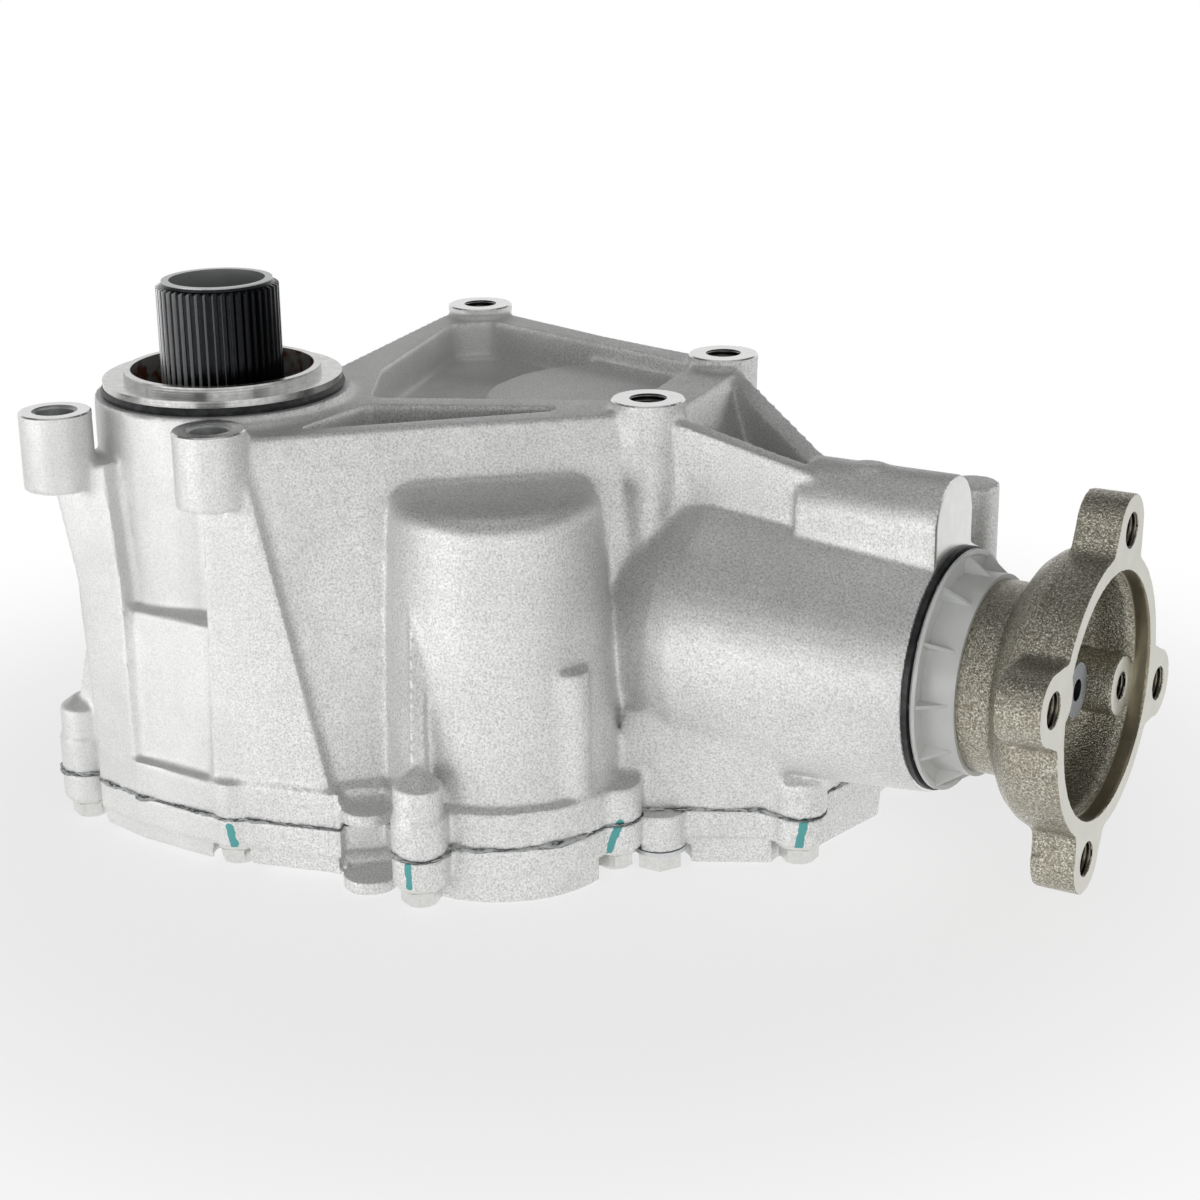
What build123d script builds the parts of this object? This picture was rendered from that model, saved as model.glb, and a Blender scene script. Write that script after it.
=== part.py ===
from build123d import *
from math import acos, atan2, cos, degrees, hypot, pi, radians, sin, sqrt, tan
import os

# Transfer case of a front-engined car with drive to all four wheels.
# It bolts to the gearbox with its input shaft and turns the drive through a right angle.
# Origin: on the input axis, in the plane of the five mounting bosses.
# +Z runs along the input shaft towards the gearbox, +X towards the output flange.
# All sizes are in millimetres.

UP = (Align.CENTER, Align.CENTER, Align.MIN)

# Clearances
TURN_GAP = 0.4          # between a turning piece and a still one
SLIDE_GAP = 0.05        # radial gap of a running fit
BOLT_GAP = 0.3          # radial gap of a bolt in its hole
SEAL_GAP = 0.3          # between a seal's lip and its shaft
PRESS_GAP = 0.02        # radial gap of a fixed fit

# Heights
RIM_TOP = -4.0          # top of the ribs between the bosses
POCKET_FLOOR = -20.0    # floor of the large pocket
WEDGE_FLOOR = -26.0     # floor of the narrow pocket behind the front rib
PLATEAU_TOP = -12.0     # round raised pad in the large pocket
SEAM = -136.0           # joint face between case and cover
SEALANT = 0.5           # thickness of the sealant in the joint
CASE_FLANGE = 13.0      # bolting flange of the case
COVER_FLANGE = 10.0     # bolting flange of the cover
COVER_DEPTH = 21.0      # cover below the joint face
FLOOR_WALL = 6.0        # floor of the cover
WALL = 7.0              # wall of case and cover
ROOF_WALL = 8.0         # roof of the case below the pockets
RIB = 7.5               # width of the ribs round the pockets

# Mounting bosses: x, y, outer radius, hole radius, depth of the lug
BOSS_A = (-30.3, -53.4, 12.4, 7.75, 27.0)
BOSS_B = (33.0, -48.3, 12.4, 7.75, 26.0)
BOSS_C = (0.5, 163.8, 12.9, 6.5, 40.0)
BOSS_D = (131.0, 129.9, 12.9, 6.5, 40.0)
BOSS_E = (140.4, 56.6, 12.9, 6.5, 40.0)
BOSS_HOLE_DEPTH = 30.0
BOSS_LEG_FOOT = (146.5, 43.0, -66.0)

# Walls of the case: each corner's place at the rim and at the joint face
CORNERS = [
    ((14, 20), (-30, 34)),
    ((-10, 152), (-26, 150)),
    ((-2, 168), (-12, 180)),
    ((8, 169), (20, 186)),
    ((70, 149), (95, 178)),
    ((132, 134), (155, 163)),
    ((141, 122), (198, 136)),
    ((146, 90), (214, 98)),
    ((150, 57), (203, 44)),
    ((144, 53), (159, 21)),
    ((87, 3.4), (114, -4)),
    ((38, -45.6), (76, -40)),
    ((20, -40), (30, -44)),
    ((0, -30), (0, -44)),
]
FLANGE_LIP = 1.0        # how far the bolting flange stands out of the wall
# outline of the legs at the joint face
LEG_FEET = [(70, -30), (77.5, -46), (31.5, -58), (-3, -57), (-25.5, -52.5), (-26, -36)]
RIM_LINE = [rim for rim, seam in CORNERS]
SEAM_LINE = [seam for rim, seam in CORNERS]
MIDDLE = (85.0, 60.0)   # middle of the case

# Input tower
TOWER_R = 45.0
TOWER_FOOT_R = TOWER_R + 2.5
TOWER_TOP = 0.0

# Bulge of the front wall
BULGE = (110.5, 5.0)
BULGE_R = 35.4
BULGE_FOOT_R = 42.5
BULGE_TOP = -24.0
BULGE_ROUND = 16.0

# Output axis, along X
OUT_Y = 66.5
OUT_Z = -82.3
NECK_R = 42.6
NECK_ROOT_R = 49.5
NECK_ROOT = 168.0
NECK_END = 251.4
RIDGE_Y = 64.5
RIDGE_WIDTH = 32.0
RIDGE_TOP = -15.0
RIDGE_START = 200.5
RIB_END = 205.5         # x where the deck ribs run into the ridge
NECK_BOSS = (240.5, 106.0, 9.5, -29.0)   # x, y, radius, top
RIDGE_DISC = (221.0, 63.5, 5.5)   # low disc on the ridge: x, y, radius

# Cover bolts: x, y of each
BOLTS = [
    (-37.5, -44.4), (35.2, -49.0), (110.6, -46.5), (152.2, 10.8), (206.0, 45.5), (208.0, 127.0),
    (180.0, 158.0), (135.0, 175.0), (84.0, 187.0), (20.0, 192.0), (-32.0, 160.0), (-33.0, 98.0),
    (-42.0, 36.0),
]
BOLT_R = 4.0
BOLT_HEAD_R = 6.9       # over the corners of the hexagon
BOLT_HEAD = 6.0
BOLT_COLLAR_R = 8.2
BOLT_COLLAR = 1.6
BOLT_LENGTH = 22.0
LUG_R = 9.5
COLUMN = 24.0           # height of the columns above the joint face
COLUMN_R = 8.5
COLUMN_BOLTS = (0, 2)   # bolts with a column above their lug
COLUMN_RIBS = [(0, (-27.0, -45.0), -72.0), (2, (100.0, -28.0), -50.5)]   # bolt, far end, top
LIFT_COLUMN = (145.6, -6.6, 6.8, -78.0)   # tall column beside the bulge: x, y, radius, top
PRY_TAB = (84.5, -39.5)
PRY_R = 9.5
PRY_THICK = 5.0
PRY_TOP = -127.5        # top of the tongue on the case

# Gears: teeth, pressure angle and face
MODULE = 2.5
PRESSURE = radians(20)
INPUT_TEETH = 30
IDLER_TEETH = 25
DRIVEN_TEETH = 28
BACKLASH = 0.3
GEAR_FACE = 20.0

# Bevel pair
RING_AXIS_X = 116.0
BEVEL_MODULE = 2.4
RING_TEETH = 32
PINION_TEETH = 14
BEVEL_FACE = 12.0
BEVEL_BACKLASH = 0.35
ROOT_DEPTH = 1.3 * BEVEL_MODULE
RING_BACK = 9.0         # metal behind the ring gear's teeth

# Input shaft
SPLINE_TEETH = 44
SPLINE_TIP_R = 21.4
SPLINE_ROOT_R = 19.9
SPLINE_TOP = 39.0
SPLINE_FOOT = -2.0
INPUT_BORE_R = 16.7
INPUT_SHAFT_R = 21.4

# Sleeve, seals and bearings of the input shaft
SLEEVE_RIM_R = 41.9
SLEEVE_RIM = 2.4
SLEEVE_RIM_TOP = 5.2
SLEEVE_LIP_R = 34.6
SLEEVE_LIP_TOP = 8.1
SLEEVE_BORE_R = 32.0
SLEEVE_DEPTH = 10.0
INPUT_BEARING_R = 31.0
INPUT_BEARING_WIDTH = 13.0
LOWER_BEARING_WIDTH = 10.0
INPUT_SEAL_HEIGHT = 8.0
HALFSHAFT_SEAL_R = 24.0
HALFSHAFT_R = 16.0      # shaft that passes through the input shaft

# Idler
IDLER_AXLE_R = 9.0
IDLER_BUSH = 2.0
IDLER_WASHER = 1.5

# Ring gear shaft
RING_SHAFT_R = 12.0
RING_BEARING_R = 21.0
RING_BEARING_WIDTH = 12.0
RING_SHAFT_TOP = -46.0
RING_SEAT_R = 16.0      # seat of the ring gear on its shaft
RING_SHOULDER = 4.5

# Output shaft, its bearings and the flange
PINION_SHAFT_R = 15.0
PINION_SPLINE_R = 12.0
PINION_THREAD_R = 9.3
PINION_END = 295.5
PINION_SHOULDER = 6.0   # from the pinion's pitch circle to its large bearing
NUT_R = 17.0
NUT_HEIGHT = 9.0
NUT_WASHER = 1.5
HEAD_BEARING_R = 33.0
HEAD_BEARING_WIDTH = 20.0
TAIL_BEARING_R = 29.0
TAIL_BEARING_WIDTH = 17.0
TAIL_BEARING_END = 230.0
OUTPUT_SEAL_R = 34.0
OUTPUT_SEAL_WIDTH = 10.0
FLANGE_FACE = 306.6
FLANGE_PCD = 108.7
FLANGE_HOLE_R = 5.75
FLANGE_TURN = 14.0      # degrees that the bolt circle is turned at rest
LOBE_R = 12.0
LOBE_THICK = 15.5
FLANGE_PILOT_R = 41.2
FLANGE_PILOT_DEPTH = 5.6
PILOT_GROOVE = 1.2      # width of the groove at the end of the pilot bore
CUP_R = 39.2            # rough bore behind the groove
CUP_BACK = 278.5        # where the cup swells out of the hub
FLANGE_RING_R = 47.5
HUB_R = 32.6
HUB_NOSE_R = 24.0
CUP_DEPTH = 27.0
SHIELD_R = 41.0
SHIELD_WALL = 1.6
SHIELD_DEPTH = 13.0     # along the hub
SHIELD_RIM = 2.2        # along the outside
SHIELD_RIBS = 12
NECK_RING = 1.6
PULLER_PLACE = 30.6
PULLER_BOSS_R = 10.6
PULLER_HOLE_R = 4.5

# Plugs
DRAIN_PLUG = (162.0, 25.0)
FILL_PLUG = (60.0, -70.0)     # x and z on the back wall
PLUG_R = 6.0
PLUG_HEAD_R = 8.4
PLUG_HEAD = 6.0
PLUG_LENGTH = 10.0
WASHER = 1.5

# Dowel pins between case and cover
DOWELS = [(57.0, 180.5), (12.0, -45.2)]
DOWEL_R = 3.0
DOWEL_LENGTH = 14.0

# Heights and places that follow from the sizes above
COVER_TOP = SEAM - SEALANT
COVER_FOOT = COVER_TOP - COVER_DEPTH
FLOOR_TOP = COVER_FOOT + FLOOR_WALL
LOWER_SEAT_TOP = FLOOR_TOP + LOWER_BEARING_WIDTH
GEAR_FOOT = LOWER_SEAT_TOP + IDLER_WASHER + TURN_GAP / 2
GEAR_TOP = GEAR_FOOT + GEAR_FACE
SLEEVE_RING_FOOT = SLEEVE_RIM_TOP - SLEEVE_RIM
INPUT_SEAL_FOOT = -SLEEVE_DEPTH - INPUT_SEAL_HEIGHT
INPUT_SEAT = INPUT_SEAL_FOOT - 2 - INPUT_BEARING_WIDTH
INPUT_SHAFT_FOOT = FLOOR_TOP + 0.6
IDLER_BOSS_FOOT = GEAR_TOP + IDLER_WASHER + TURN_GAP
IDLER_AXLE_TOP = IDLER_BOSS_FOOT + 16
IDLER_BUSH_R = IDLER_AXLE_R + SLIDE_GAP + IDLER_BUSH
DRAIN_SEAT = COVER_FOOT + PLUG_HEAD + WASHER
CUP_FLOOR = FLANGE_FACE - CUP_DEPTH
SHIELD_BACK = NECK_END + NECK_RING + TURN_GAP
BACK_FACE = 172.0       # face of the fill plug's boss


# Basic shapes

def rod(x, y, radius, low, high):
    return Pos(x, y, low) * Cylinder(radius, high - low, align=UP)


def tube(x, y, outer, inner, low, high):
    return rod(x, y, outer, low, high) - rod(x, y, inner, low - 1, high + 1)


def cone(x, y, low_r, high_r, low, high):
    return Pos(x, y, low) * Cone(low_r, high_r, high - low, align=UP)


def out_rod(radius, start, end, y=OUT_Y, z=OUT_Z):
    """Round bar along +X."""
    return Pos(start, y, z) * Rot(0, 90, 0) * Cylinder(radius, end - start, align=UP)


def turned_up(x, y, profile):
    """Turn a profile of (radius, z) points about a vertical axis."""
    face = make_face(Polyline([(x + r, y, z) for r, z in profile], close=True))
    return revolve(face, Axis((x, y, 0), (0, 0, 1)))


def turned_out(profile):
    """Turn a profile of (x, radius) points about the output axis."""
    face = make_face(Polyline([(x, OUT_Y, OUT_Z + r) for x, r in profile], close=True))
    return revolve(face, Axis((0, OUT_Y, OUT_Z), (1, 0, 0)))


def outline(points, z, rounding=0):
    face = make_face(Polyline([(x, y, z) for x, y in points], close=True))
    if rounding:
        face = fillet(face.vertices(), rounding)
    return face


def prism(points, low, high, rounding=0):
    return extrude(outline(points, low, rounding), high - low, dir=(0, 0, 1))


def drafted(low_points, high_points, low, high):
    return loft([outline(low_points, low), outline(high_points, high)], ruled=True)


def moved_in(points, distance):
    """Corners of a clockwise outline moved inwards by a wall's thickness."""
    moved = []
    count = len(points)
    for i in range(count):
        before, here, after = points[i - 1], points[i], points[(i + 1) % count]
        first = unit(here[0] - before[0], here[1] - before[1])
        second = unit(after[0] - here[0], after[1] - here[1])
        normal = (first[1] + second[1], -first[0] - second[0])
        scale = distance / (1 + first[0] * second[0] + first[1] * second[1])
        moved.append((here[0] + normal[0] * scale, here[1] + normal[1] * scale))
    return moved


def unit(x, y):
    size = hypot(x, y)
    return x / size, y / size


def wall_at(z, inset=0.0):
    """Outline of the case walls at one height."""
    share = (RIM_TOP - z) / (RIM_TOP - SEAM)
    points = [(a[0] + (b[0] - a[0]) * share, a[1] + (b[1] - a[1]) * share) for a, b in CORNERS]
    return moved_in(points, inset)


def rib_between(start, end, width, low, high, high_end=None):
    """Upright rib between two points, its top level or sloping."""
    high_end = high if high_end is None else high_end
    along = unit(end[0] - start[0], end[1] - start[1])
    side = Vector(-along[1] * width / 2, along[0] * width / 2, 0)
    ends = [Vector(start[0], start[1], low), Vector(end[0], end[1], low),
            Vector(end[0], end[1], high_end), Vector(start[0], start[1], high)]
    face = make_face(Polyline([corner - side for corner in ends], close=True))
    return extrude(face, width, dir=side.normalized())


# Gear shapes

def involute(angle):
    return tan(angle) - angle


def gear_outline(teeth, module, backlash, tip_share=1.0, root_share=1.25):
    """Points of a straight-tooth gear, the first tooth centred on +X."""
    pitch = module * teeth / 2
    base = pitch * cos(PRESSURE)
    tip = pitch + module * tip_share
    root = pitch - module * root_share
    foot = max(base, root)
    half_pitch = pi / (2 * teeth) - backlash / (2 * pitch)
    flank = []
    for share in (0, 0.35, 0.7, 1):
        radius = foot + (tip - foot) * share
        half = half_pitch + involute(PRESSURE) - involute(acos(base / radius))
        flank.append((radius, half))
    if foot > root:
        flank.insert(0, (root, flank[0][1]))
    points = []
    for tooth in range(teeth):
        centre = 2 * pi * tooth / teeth
        for radius, half in flank:
            points.append((radius * cos(centre - half), radius * sin(centre - half)))
        for radius, half in reversed(flank):
            points.append((radius * cos(centre + half), radius * sin(centre + half)))
    return points


def spur_gear(place, turn, teeth, bore, low, high):
    """Spur gear with its first tooth turned by an angle in degrees."""
    face = make_face(Polyline(gear_outline(teeth, MODULE, BACKLASH), close=True))
    gear = extrude(face, high - low)
    gear -= rod(0, 0, bore, -1, high - low + 1)
    return Pos(place[0], place[1], low) * Rot(0, 0, turn) * gear


RING_AXIS = (RING_AXIS_X, OUT_Y)
INPUT_PITCH = MODULE * INPUT_TEETH / 2
IDLER_PITCH = MODULE * IDLER_TEETH / 2
DRIVEN_PITCH = MODULE * DRIVEN_TEETH / 2


def idler_place():
    """Where the idler meets both the input gear and the driven gear."""
    first = INPUT_PITCH + IDLER_PITCH
    second = IDLER_PITCH + DRIVEN_PITCH
    whole = hypot(*RING_AXIS)
    along = (first ** 2 - second ** 2 + whole ** 2) / (2 * whole)
    off = sqrt(first ** 2 - along ** 2)
    dx, dy = unit(*RING_AXIS)
    return dx * along + dy * off, dy * along - dx * off


IDLER = idler_place()


def bearing_angle(start, end):
    return degrees(atan2(end[1] - start[1], end[0] - start[0]))


TO_IDLER = bearing_angle((0, 0), IDLER)
TO_DRIVEN = bearing_angle(IDLER, RING_AXIS)
INPUT_TURN = TO_IDLER
IDLER_TURN = TO_IDLER + 180 + 180 / IDLER_TEETH


def driven_turn():
    """Turn of the driven gear that puts a gap where the idler has a tooth."""
    step = 360 / IDLER_TEETH
    offset = (IDLER_TURN - TO_DRIVEN) % step
    return TO_DRIVEN + 180 + 180 / DRIVEN_TEETH - offset * IDLER_TEETH / DRIVEN_TEETH


RING_PITCH = BEVEL_MODULE * RING_TEETH / 2
PINION_PITCH = BEVEL_MODULE * PINION_TEETH / 2
CONE_DISTANCE = hypot(RING_PITCH, PINION_PITCH)
TOE_SHARE = (CONE_DISTANCE - BEVEL_FACE) / CONE_DISTANCE
PINION_HEAD = RING_AXIS_X + RING_PITCH + PINION_SHOULDER


def bevel_tooth(pitch, other_pitch, teeth, centre):
    """One straight bevel tooth about +Z, its pitch cone opening upwards from the origin."""
    virtual = teeth * CONE_DISTANCE / other_pitch
    radius = BEVEL_MODULE * virtual / 2
    base = radius * cos(PRESSURE)
    quads = []
    heights = (-1.7, -1.0, 0.0, 0.95)
    for scale in (1.0, TOE_SHARE):
        section = []
        for height in heights:
            at = radius + height * BEVEL_MODULE
            half = pi / (2 * virtual) - BEVEL_BACKLASH / (2 * radius) + involute(PRESSURE)
            half -= involute(acos(min(1, base / at)))
            section.append((height * BEVEL_MODULE, at * sin(half)))
        points = [(h, -w) for h, w in section] + [(h, w) for h, w in reversed(section)]
        corners = []
        for rise, side in points:
            out = pitch + rise * other_pitch / CONE_DISTANCE
            up = other_pitch - rise * pitch / CONE_DISTANCE
            corners.append(Vector(out * scale, side * scale, up * scale).rotate(Axis.Z, centre))
        quads.append(make_face(Polyline(corners, close=True)))
    return loft(quads, ruled=True)


def bevel_gear(pitch, other_pitch, teeth, back, bore, first):
    """Straight bevel gear about +Z with its apex at the origin and its teeth facing the apex."""
    def at(rise, scale):
        out = pitch + rise * other_pitch / CONE_DISTANCE
        up = other_pitch - rise * pitch / CONE_DISTANCE
        return out * scale, up * scale
    root = -ROOT_DEPTH
    heel, toe = at(root, 1.0), at(root, TOE_SHARE)
    profile = [toe, heel, (heel[0], heel[1] + back), (bore, heel[1] + back), (bore, toe[1])]
    body = turned_up(0, 0, profile)
    ring_of_teeth = [bevel_tooth(pitch, other_pitch, teeth, first + 360 * i / teeth) for i in range(teeth)]
    return body + ring_of_teeth


# Casings

def boss_lugs():
    lugs = [rod(x, y, r, -depth, 0) for x, y, r, hole, depth in (BOSS_A, BOSS_B)]
    lugs += [cone(x, y, r * 0.8, r, RIM_TOP - 3 * depth, 0) for x, y, r, hole, depth in
             (BOSS_C, BOSS_D, BOSS_E)]
    return lugs


def deck_ribs():
    """Ribs from the output neck's ridge to bosses D and E."""
    ridge_front = (RIB_END, RIDGE_Y - 8.5)
    ridge_back = (RIB_END, RIDGE_Y - 2.5)
    low = OUT_Z
    return [
        rib_between(BOSS_E[:2], ridge_front, RIB, low, RIM_TOP, RIDGE_TOP - 2.5),
        rib_between(BOSS_D[:2], ridge_back, RIB, low, RIM_TOP, RIDGE_TOP - 2.5),
    ]


def legs():
    """Legs below bosses A and B, and the raised panel between them."""
    middle = -60
    leg_a_middle = [(-30, -36), (-29, -51.5), (-7.5, -52.5), (-7.5, -36)]
    leg_a_top = drafted(leg_a_middle, [(-40, -36), (-38, -52), (-13, -50.5), (-13, -36)], middle, -18)
    leg_a_foot = drafted(
        [(-26, -36), (-25, -52), (-3, -56.5), (-3, -36)], leg_a_middle, SEAM, middle)
    leg_b = drafted(
        [(31, -34), (31, -57.5), (77, -45.5), (70, -30)],
        [(31, -34), (32, -53), (46.5, -46.5), (42, -32)], SEAM, -18)
    panel = drafted(
        [(-4, -36), (-4, -55), (32, -56), (32, -36)],
        [(-8, -36), (-8, -49.5), (34, -50), (34, -36)], SEAM, -69)
    return [leg_a_top, leg_a_foot, leg_b, panel]


def bulge():
    body = cone(*BULGE, BULGE_FOOT_R, BULGE_R, SEAM, BULGE_TOP)
    return fillet(body.edges().group_by(Axis.Z)[-1], BULGE_ROUND)


def column(x, y, radius, top):
    """Upright column on the joint face with a conical top."""
    return rod(x, y, radius, SEAM, top) + cone(x, y, radius, radius / 3, top, top + radius / 2)


def columns():
    made = [column(*BOLTS[index], COLUMN_R, SEAM + COLUMN) for index in COLUMN_BOLTS]
    for index, end, top in COLUMN_RIBS:
        made.append(rib_between(BOLTS[index], end, 5.2, SEAM, SEAM + COLUMN + 2, top))
    return made + [rod(*LIFT_COLUMN[:3], SEAM, LIFT_COLUMN[3])]


def inward(place, distance):
    """A point moved towards the middle of the case."""
    dx, dy = unit(MIDDLE[0] - place[0], MIDDLE[1] - place[1])
    return place[0] + dx * distance, place[1] + dy * distance


def seam_flange(low, high):
    """Bolting flange along the joint, with a lug at each bolt."""
    flange = prism(moved_in(SEAM_LINE, -FLANGE_LIP), low, high)
    flange += rod(0, 0, TOWER_FOOT_R + FLANGE_LIP, low, high)
    flange += rod(*BULGE, BULGE_FOOT_R + 2 * FLANGE_LIP, low, high)
    flange += prism(LEG_FEET, low, high)
    for place in BOLTS:
        flange += rod(*place, LUG_R, low, high)
        flange += rib_between(place, inward(place, 2 * LUG_R), 2 * LUG_R - 2, low, high)
    return flange


def pry_tab(low, high):
    """Rounded tongue for a lever."""
    return rod(*PRY_TAB, PRY_R, low, high)


def neck():
    """Barrel round the output bearings, with the ridge along its top and the boss behind it."""
    barrel = turned_out([
        (NECK_ROOT - 28, 0), (NECK_ROOT - 28, NECK_ROOT_R - 9), (NECK_ROOT - 8, NECK_ROOT_R - 1),
        (NECK_ROOT, NECK_ROOT_R),
        (NECK_END, NECK_R), (NECK_END, 0)])
    half = RIDGE_WIDTH / 2
    length = NECK_END - RIDGE_START
    arch = Pos(RIDGE_START, RIDGE_Y, RIDGE_TOP - half) * Rot(0, 90, 0) * Cylinder(half, length, align=UP)
    stem = Pos(RIDGE_START, RIDGE_Y, OUT_Z) * Box(
        length, RIDGE_WIDTH, RIDGE_TOP - half - OUT_Z, align=(Align.MIN, Align.CENTER, Align.MIN))
    x, y, radius, top = NECK_BOSS
    disc = rod(*RIDGE_DISC, RIDGE_TOP - 3, RIDGE_TOP + 0.6)
    return barrel + arch + stem + disc + neck_apron() + rod(x, y, radius, OUT_Z, top)


def neck_apron():
    """Wall that runs from the barrel's belly down to the joint face."""
    belly = OUT_Y - NECK_ROOT_R + 4
    foot = [(150, 60), (150, 12), (159, 20), (203, 43.5), (203, 60)]
    top = [(150, 60), (150, belly), (NECK_ROOT - 8, belly), (203, belly + 4), (203, 60)]
    return drafted(foot, top, SEAM, OUT_Z - 18)


def boss_leg():
    """Leg of boss E that leans out with the wall below it."""
    x, y, radius = BOSS_E[:3]
    head = make_face(CenterArc((x, y, RIM_TOP), radius - 0.5, 0, 360))
    foot = make_face(CenterArc((BOSS_LEG_FOOT[0], BOSS_LEG_FOOT[1], BOSS_LEG_FOOT[2]), radius * 0.6, 0, 360))
    return loft([foot, head], ruled=True)


def pockets():
    """Pockets cut into the deck, between the ribs."""
    half = RIB / 2
    large = prism([
        (45, 26), (122, 62), (130, 69), (122, 122), (112, 127), (14, 153), (1, 143), (24, 62)],
        POCKET_FLOOR, 5, rounding=6)
    wedge = prism([(49, -24), (50, 17), (112, 45.5), (112, 39)], WEDGE_FLOOR, 5, rounding=2.5)
    plateau = rod(109, 100, 54, POCKET_FLOOR - half, PLATEAU_TOP)
    return (large - plateau) + wedge - rod(0, 0, TOWER_R + 3, -60, 10)


def case_hollow():
    """Space inside the case for the gears and the oil."""
    roof = POCKET_FLOOR - ROOF_WALL - 6
    hollow = drafted(wall_at(SEAM, WALL), wall_at(roof, WALL), SEAM - 1e-3, roof)
    hollow += rod(0, 0, TOWER_R - WALL - 1, SEAM, -48)
    hollow += rod(0, 0, INPUT_PITCH + MODULE + 2, SEAM, GEAR_TOP + 4)
    hollow += rod(*BULGE, BULGE_R - WALL, SEAM, BULGE_TOP - WALL - 8)
    return hollow


def inner_bosses():
    """Bosses inside the case for the idler axle and for the bearings of the three shafts."""
    top = POCKET_FLOOR - 4
    return [
        cone(*IDLER, IDLER_AXLE_R + 6, IDLER_AXLE_R + 9, IDLER_BOSS_FOOT, top),
        rod(*RING_AXIS, RING_BEARING_R + 7, RING_SHAFT_TOP - RING_BEARING_WIDTH - 3, top),
        rod(0, 0, TOWER_R - 2, INPUT_SEAT - 5, INPUT_SEAT + 20),
        out_rod(HEAD_BEARING_R + 6, PINION_HEAD, NECK_ROOT + 20),
    ]


def fill_boss():
    x, z = FILL_PLUG
    return Pos(x, BACK_FACE - 30, z) * Rot(-90, 0, 0) * Cylinder(PLUG_R + 5, 30, align=UP)


def pinion_tunnel():
    head = PINION_HEAD
    tail = TAIL_BEARING_END
    web = min(HEAD_BEARING_R, TAIL_BEARING_R) - 5
    return turned_out([
        (head - 1, 0), (head - 1, HEAD_BEARING_R), (head + HEAD_BEARING_WIDTH, HEAD_BEARING_R),
        (head + HEAD_BEARING_WIDTH, web), (tail - TAIL_BEARING_WIDTH, web),
        (tail - TAIL_BEARING_WIDTH, TAIL_BEARING_R), (tail, TAIL_BEARING_R), (tail, OUTPUT_SEAL_R),
        (NECK_END + 1, OUTPUT_SEAL_R), (NECK_END + 1, 0)])


def main_case():
    case = drafted(SEAM_LINE, RIM_LINE, SEAM, RIM_TOP)
    case += cone(0, 0, TOWER_FOOT_R, TOWER_R, SEAM, TOWER_TOP)
    case += boss_lugs() + [boss_leg()] + deck_ribs() + legs() + columns()
    case += bulge()
    case += neck()
    case += fill_boss()
    case += seam_flange(SEAM, SEAM + CASE_FLANGE)
    case += pry_tab(PRY_TOP - PRY_THICK, PRY_TOP)
    case -= pockets()
    case -= case_hollow()
    case += inner_bosses()
    return case - case_bores()


def case_bores():
    """Everything bored into the case."""
    cuts = [rod(x, y, hole, -depth - 1, 1) for x, y, r, hole, depth in (BOSS_A, BOSS_B)]
    cuts += [rod(x, y, hole, -BOSS_HOLE_DEPTH, 1) for x, y, r, hole, depth in (BOSS_C, BOSS_D, BOSS_E)]
    cuts += [rod(x, y, BOLT_R + SLIDE_GAP, SEAM - 1, SEAM + CASE_FLANGE - 1) for x, y in BOLTS]
    cuts += [rod(x, y, DOWEL_R + PRESS_GAP, SEAM - 1, SEAM + DOWEL_LENGTH / 2 + 1) for x, y in DOWELS]
    cuts.append(rod(0, 0, SLEEVE_LIP_R + PRESS_GAP, -SLEEVE_DEPTH, 1))
    cuts.append(rod(0, 0, INPUT_BEARING_R + PRESS_GAP, INPUT_SEAT, 0))
    cuts.append(rod(0, 0, INPUT_BEARING_R - 4, INPUT_SEAT - 20, 0))
    cuts.append(rod(*IDLER, IDLER_AXLE_R + PRESS_GAP, SEAM, IDLER_AXLE_TOP))
    cuts.append(rod(*RING_AXIS, RING_BEARING_R + PRESS_GAP, OUT_Z, RING_SHAFT_TOP))
    cuts.append(pinion_tunnel())
    cuts.append(out_rod(PINION_PITCH + BEVEL_MODULE + 3, RING_AXIS_X, PINION_HEAD))
    x, z = FILL_PLUG
    cuts.append(Pos(x, BACK_FACE - 40, z) * Rot(-90, 0, 0) * Cylinder(PLUG_R + SLIDE_GAP, 60, align=UP))
    return cuts


# Cover

def cover_skirt():
    """Outside of the cover below its flange."""
    taper = 1.5
    low, high = COVER_FOOT, COVER_TOP
    skirt = drafted(moved_in(SEAM_LINE, taper), SEAM_LINE, low, high)
    skirt += cone(0, 0, TOWER_FOOT_R - taper, TOWER_FOOT_R, low, high)
    skirt += drafted(moved_in(LEG_FEET, taper), LEG_FEET, low + 4, high)
    return skirt + cone(*BULGE, BULGE_FOOT_R - taper, BULGE_FOOT_R, low, high)


def drain_boss(low, high):
    boss = rod(*DRAIN_PLUG, PLUG_HEAD_R + 1, low, high)
    return boss + rib_between(DRAIN_PLUG, inward(DRAIN_PLUG, 24), 2 * PLUG_HEAD_R, low, high)


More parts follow.
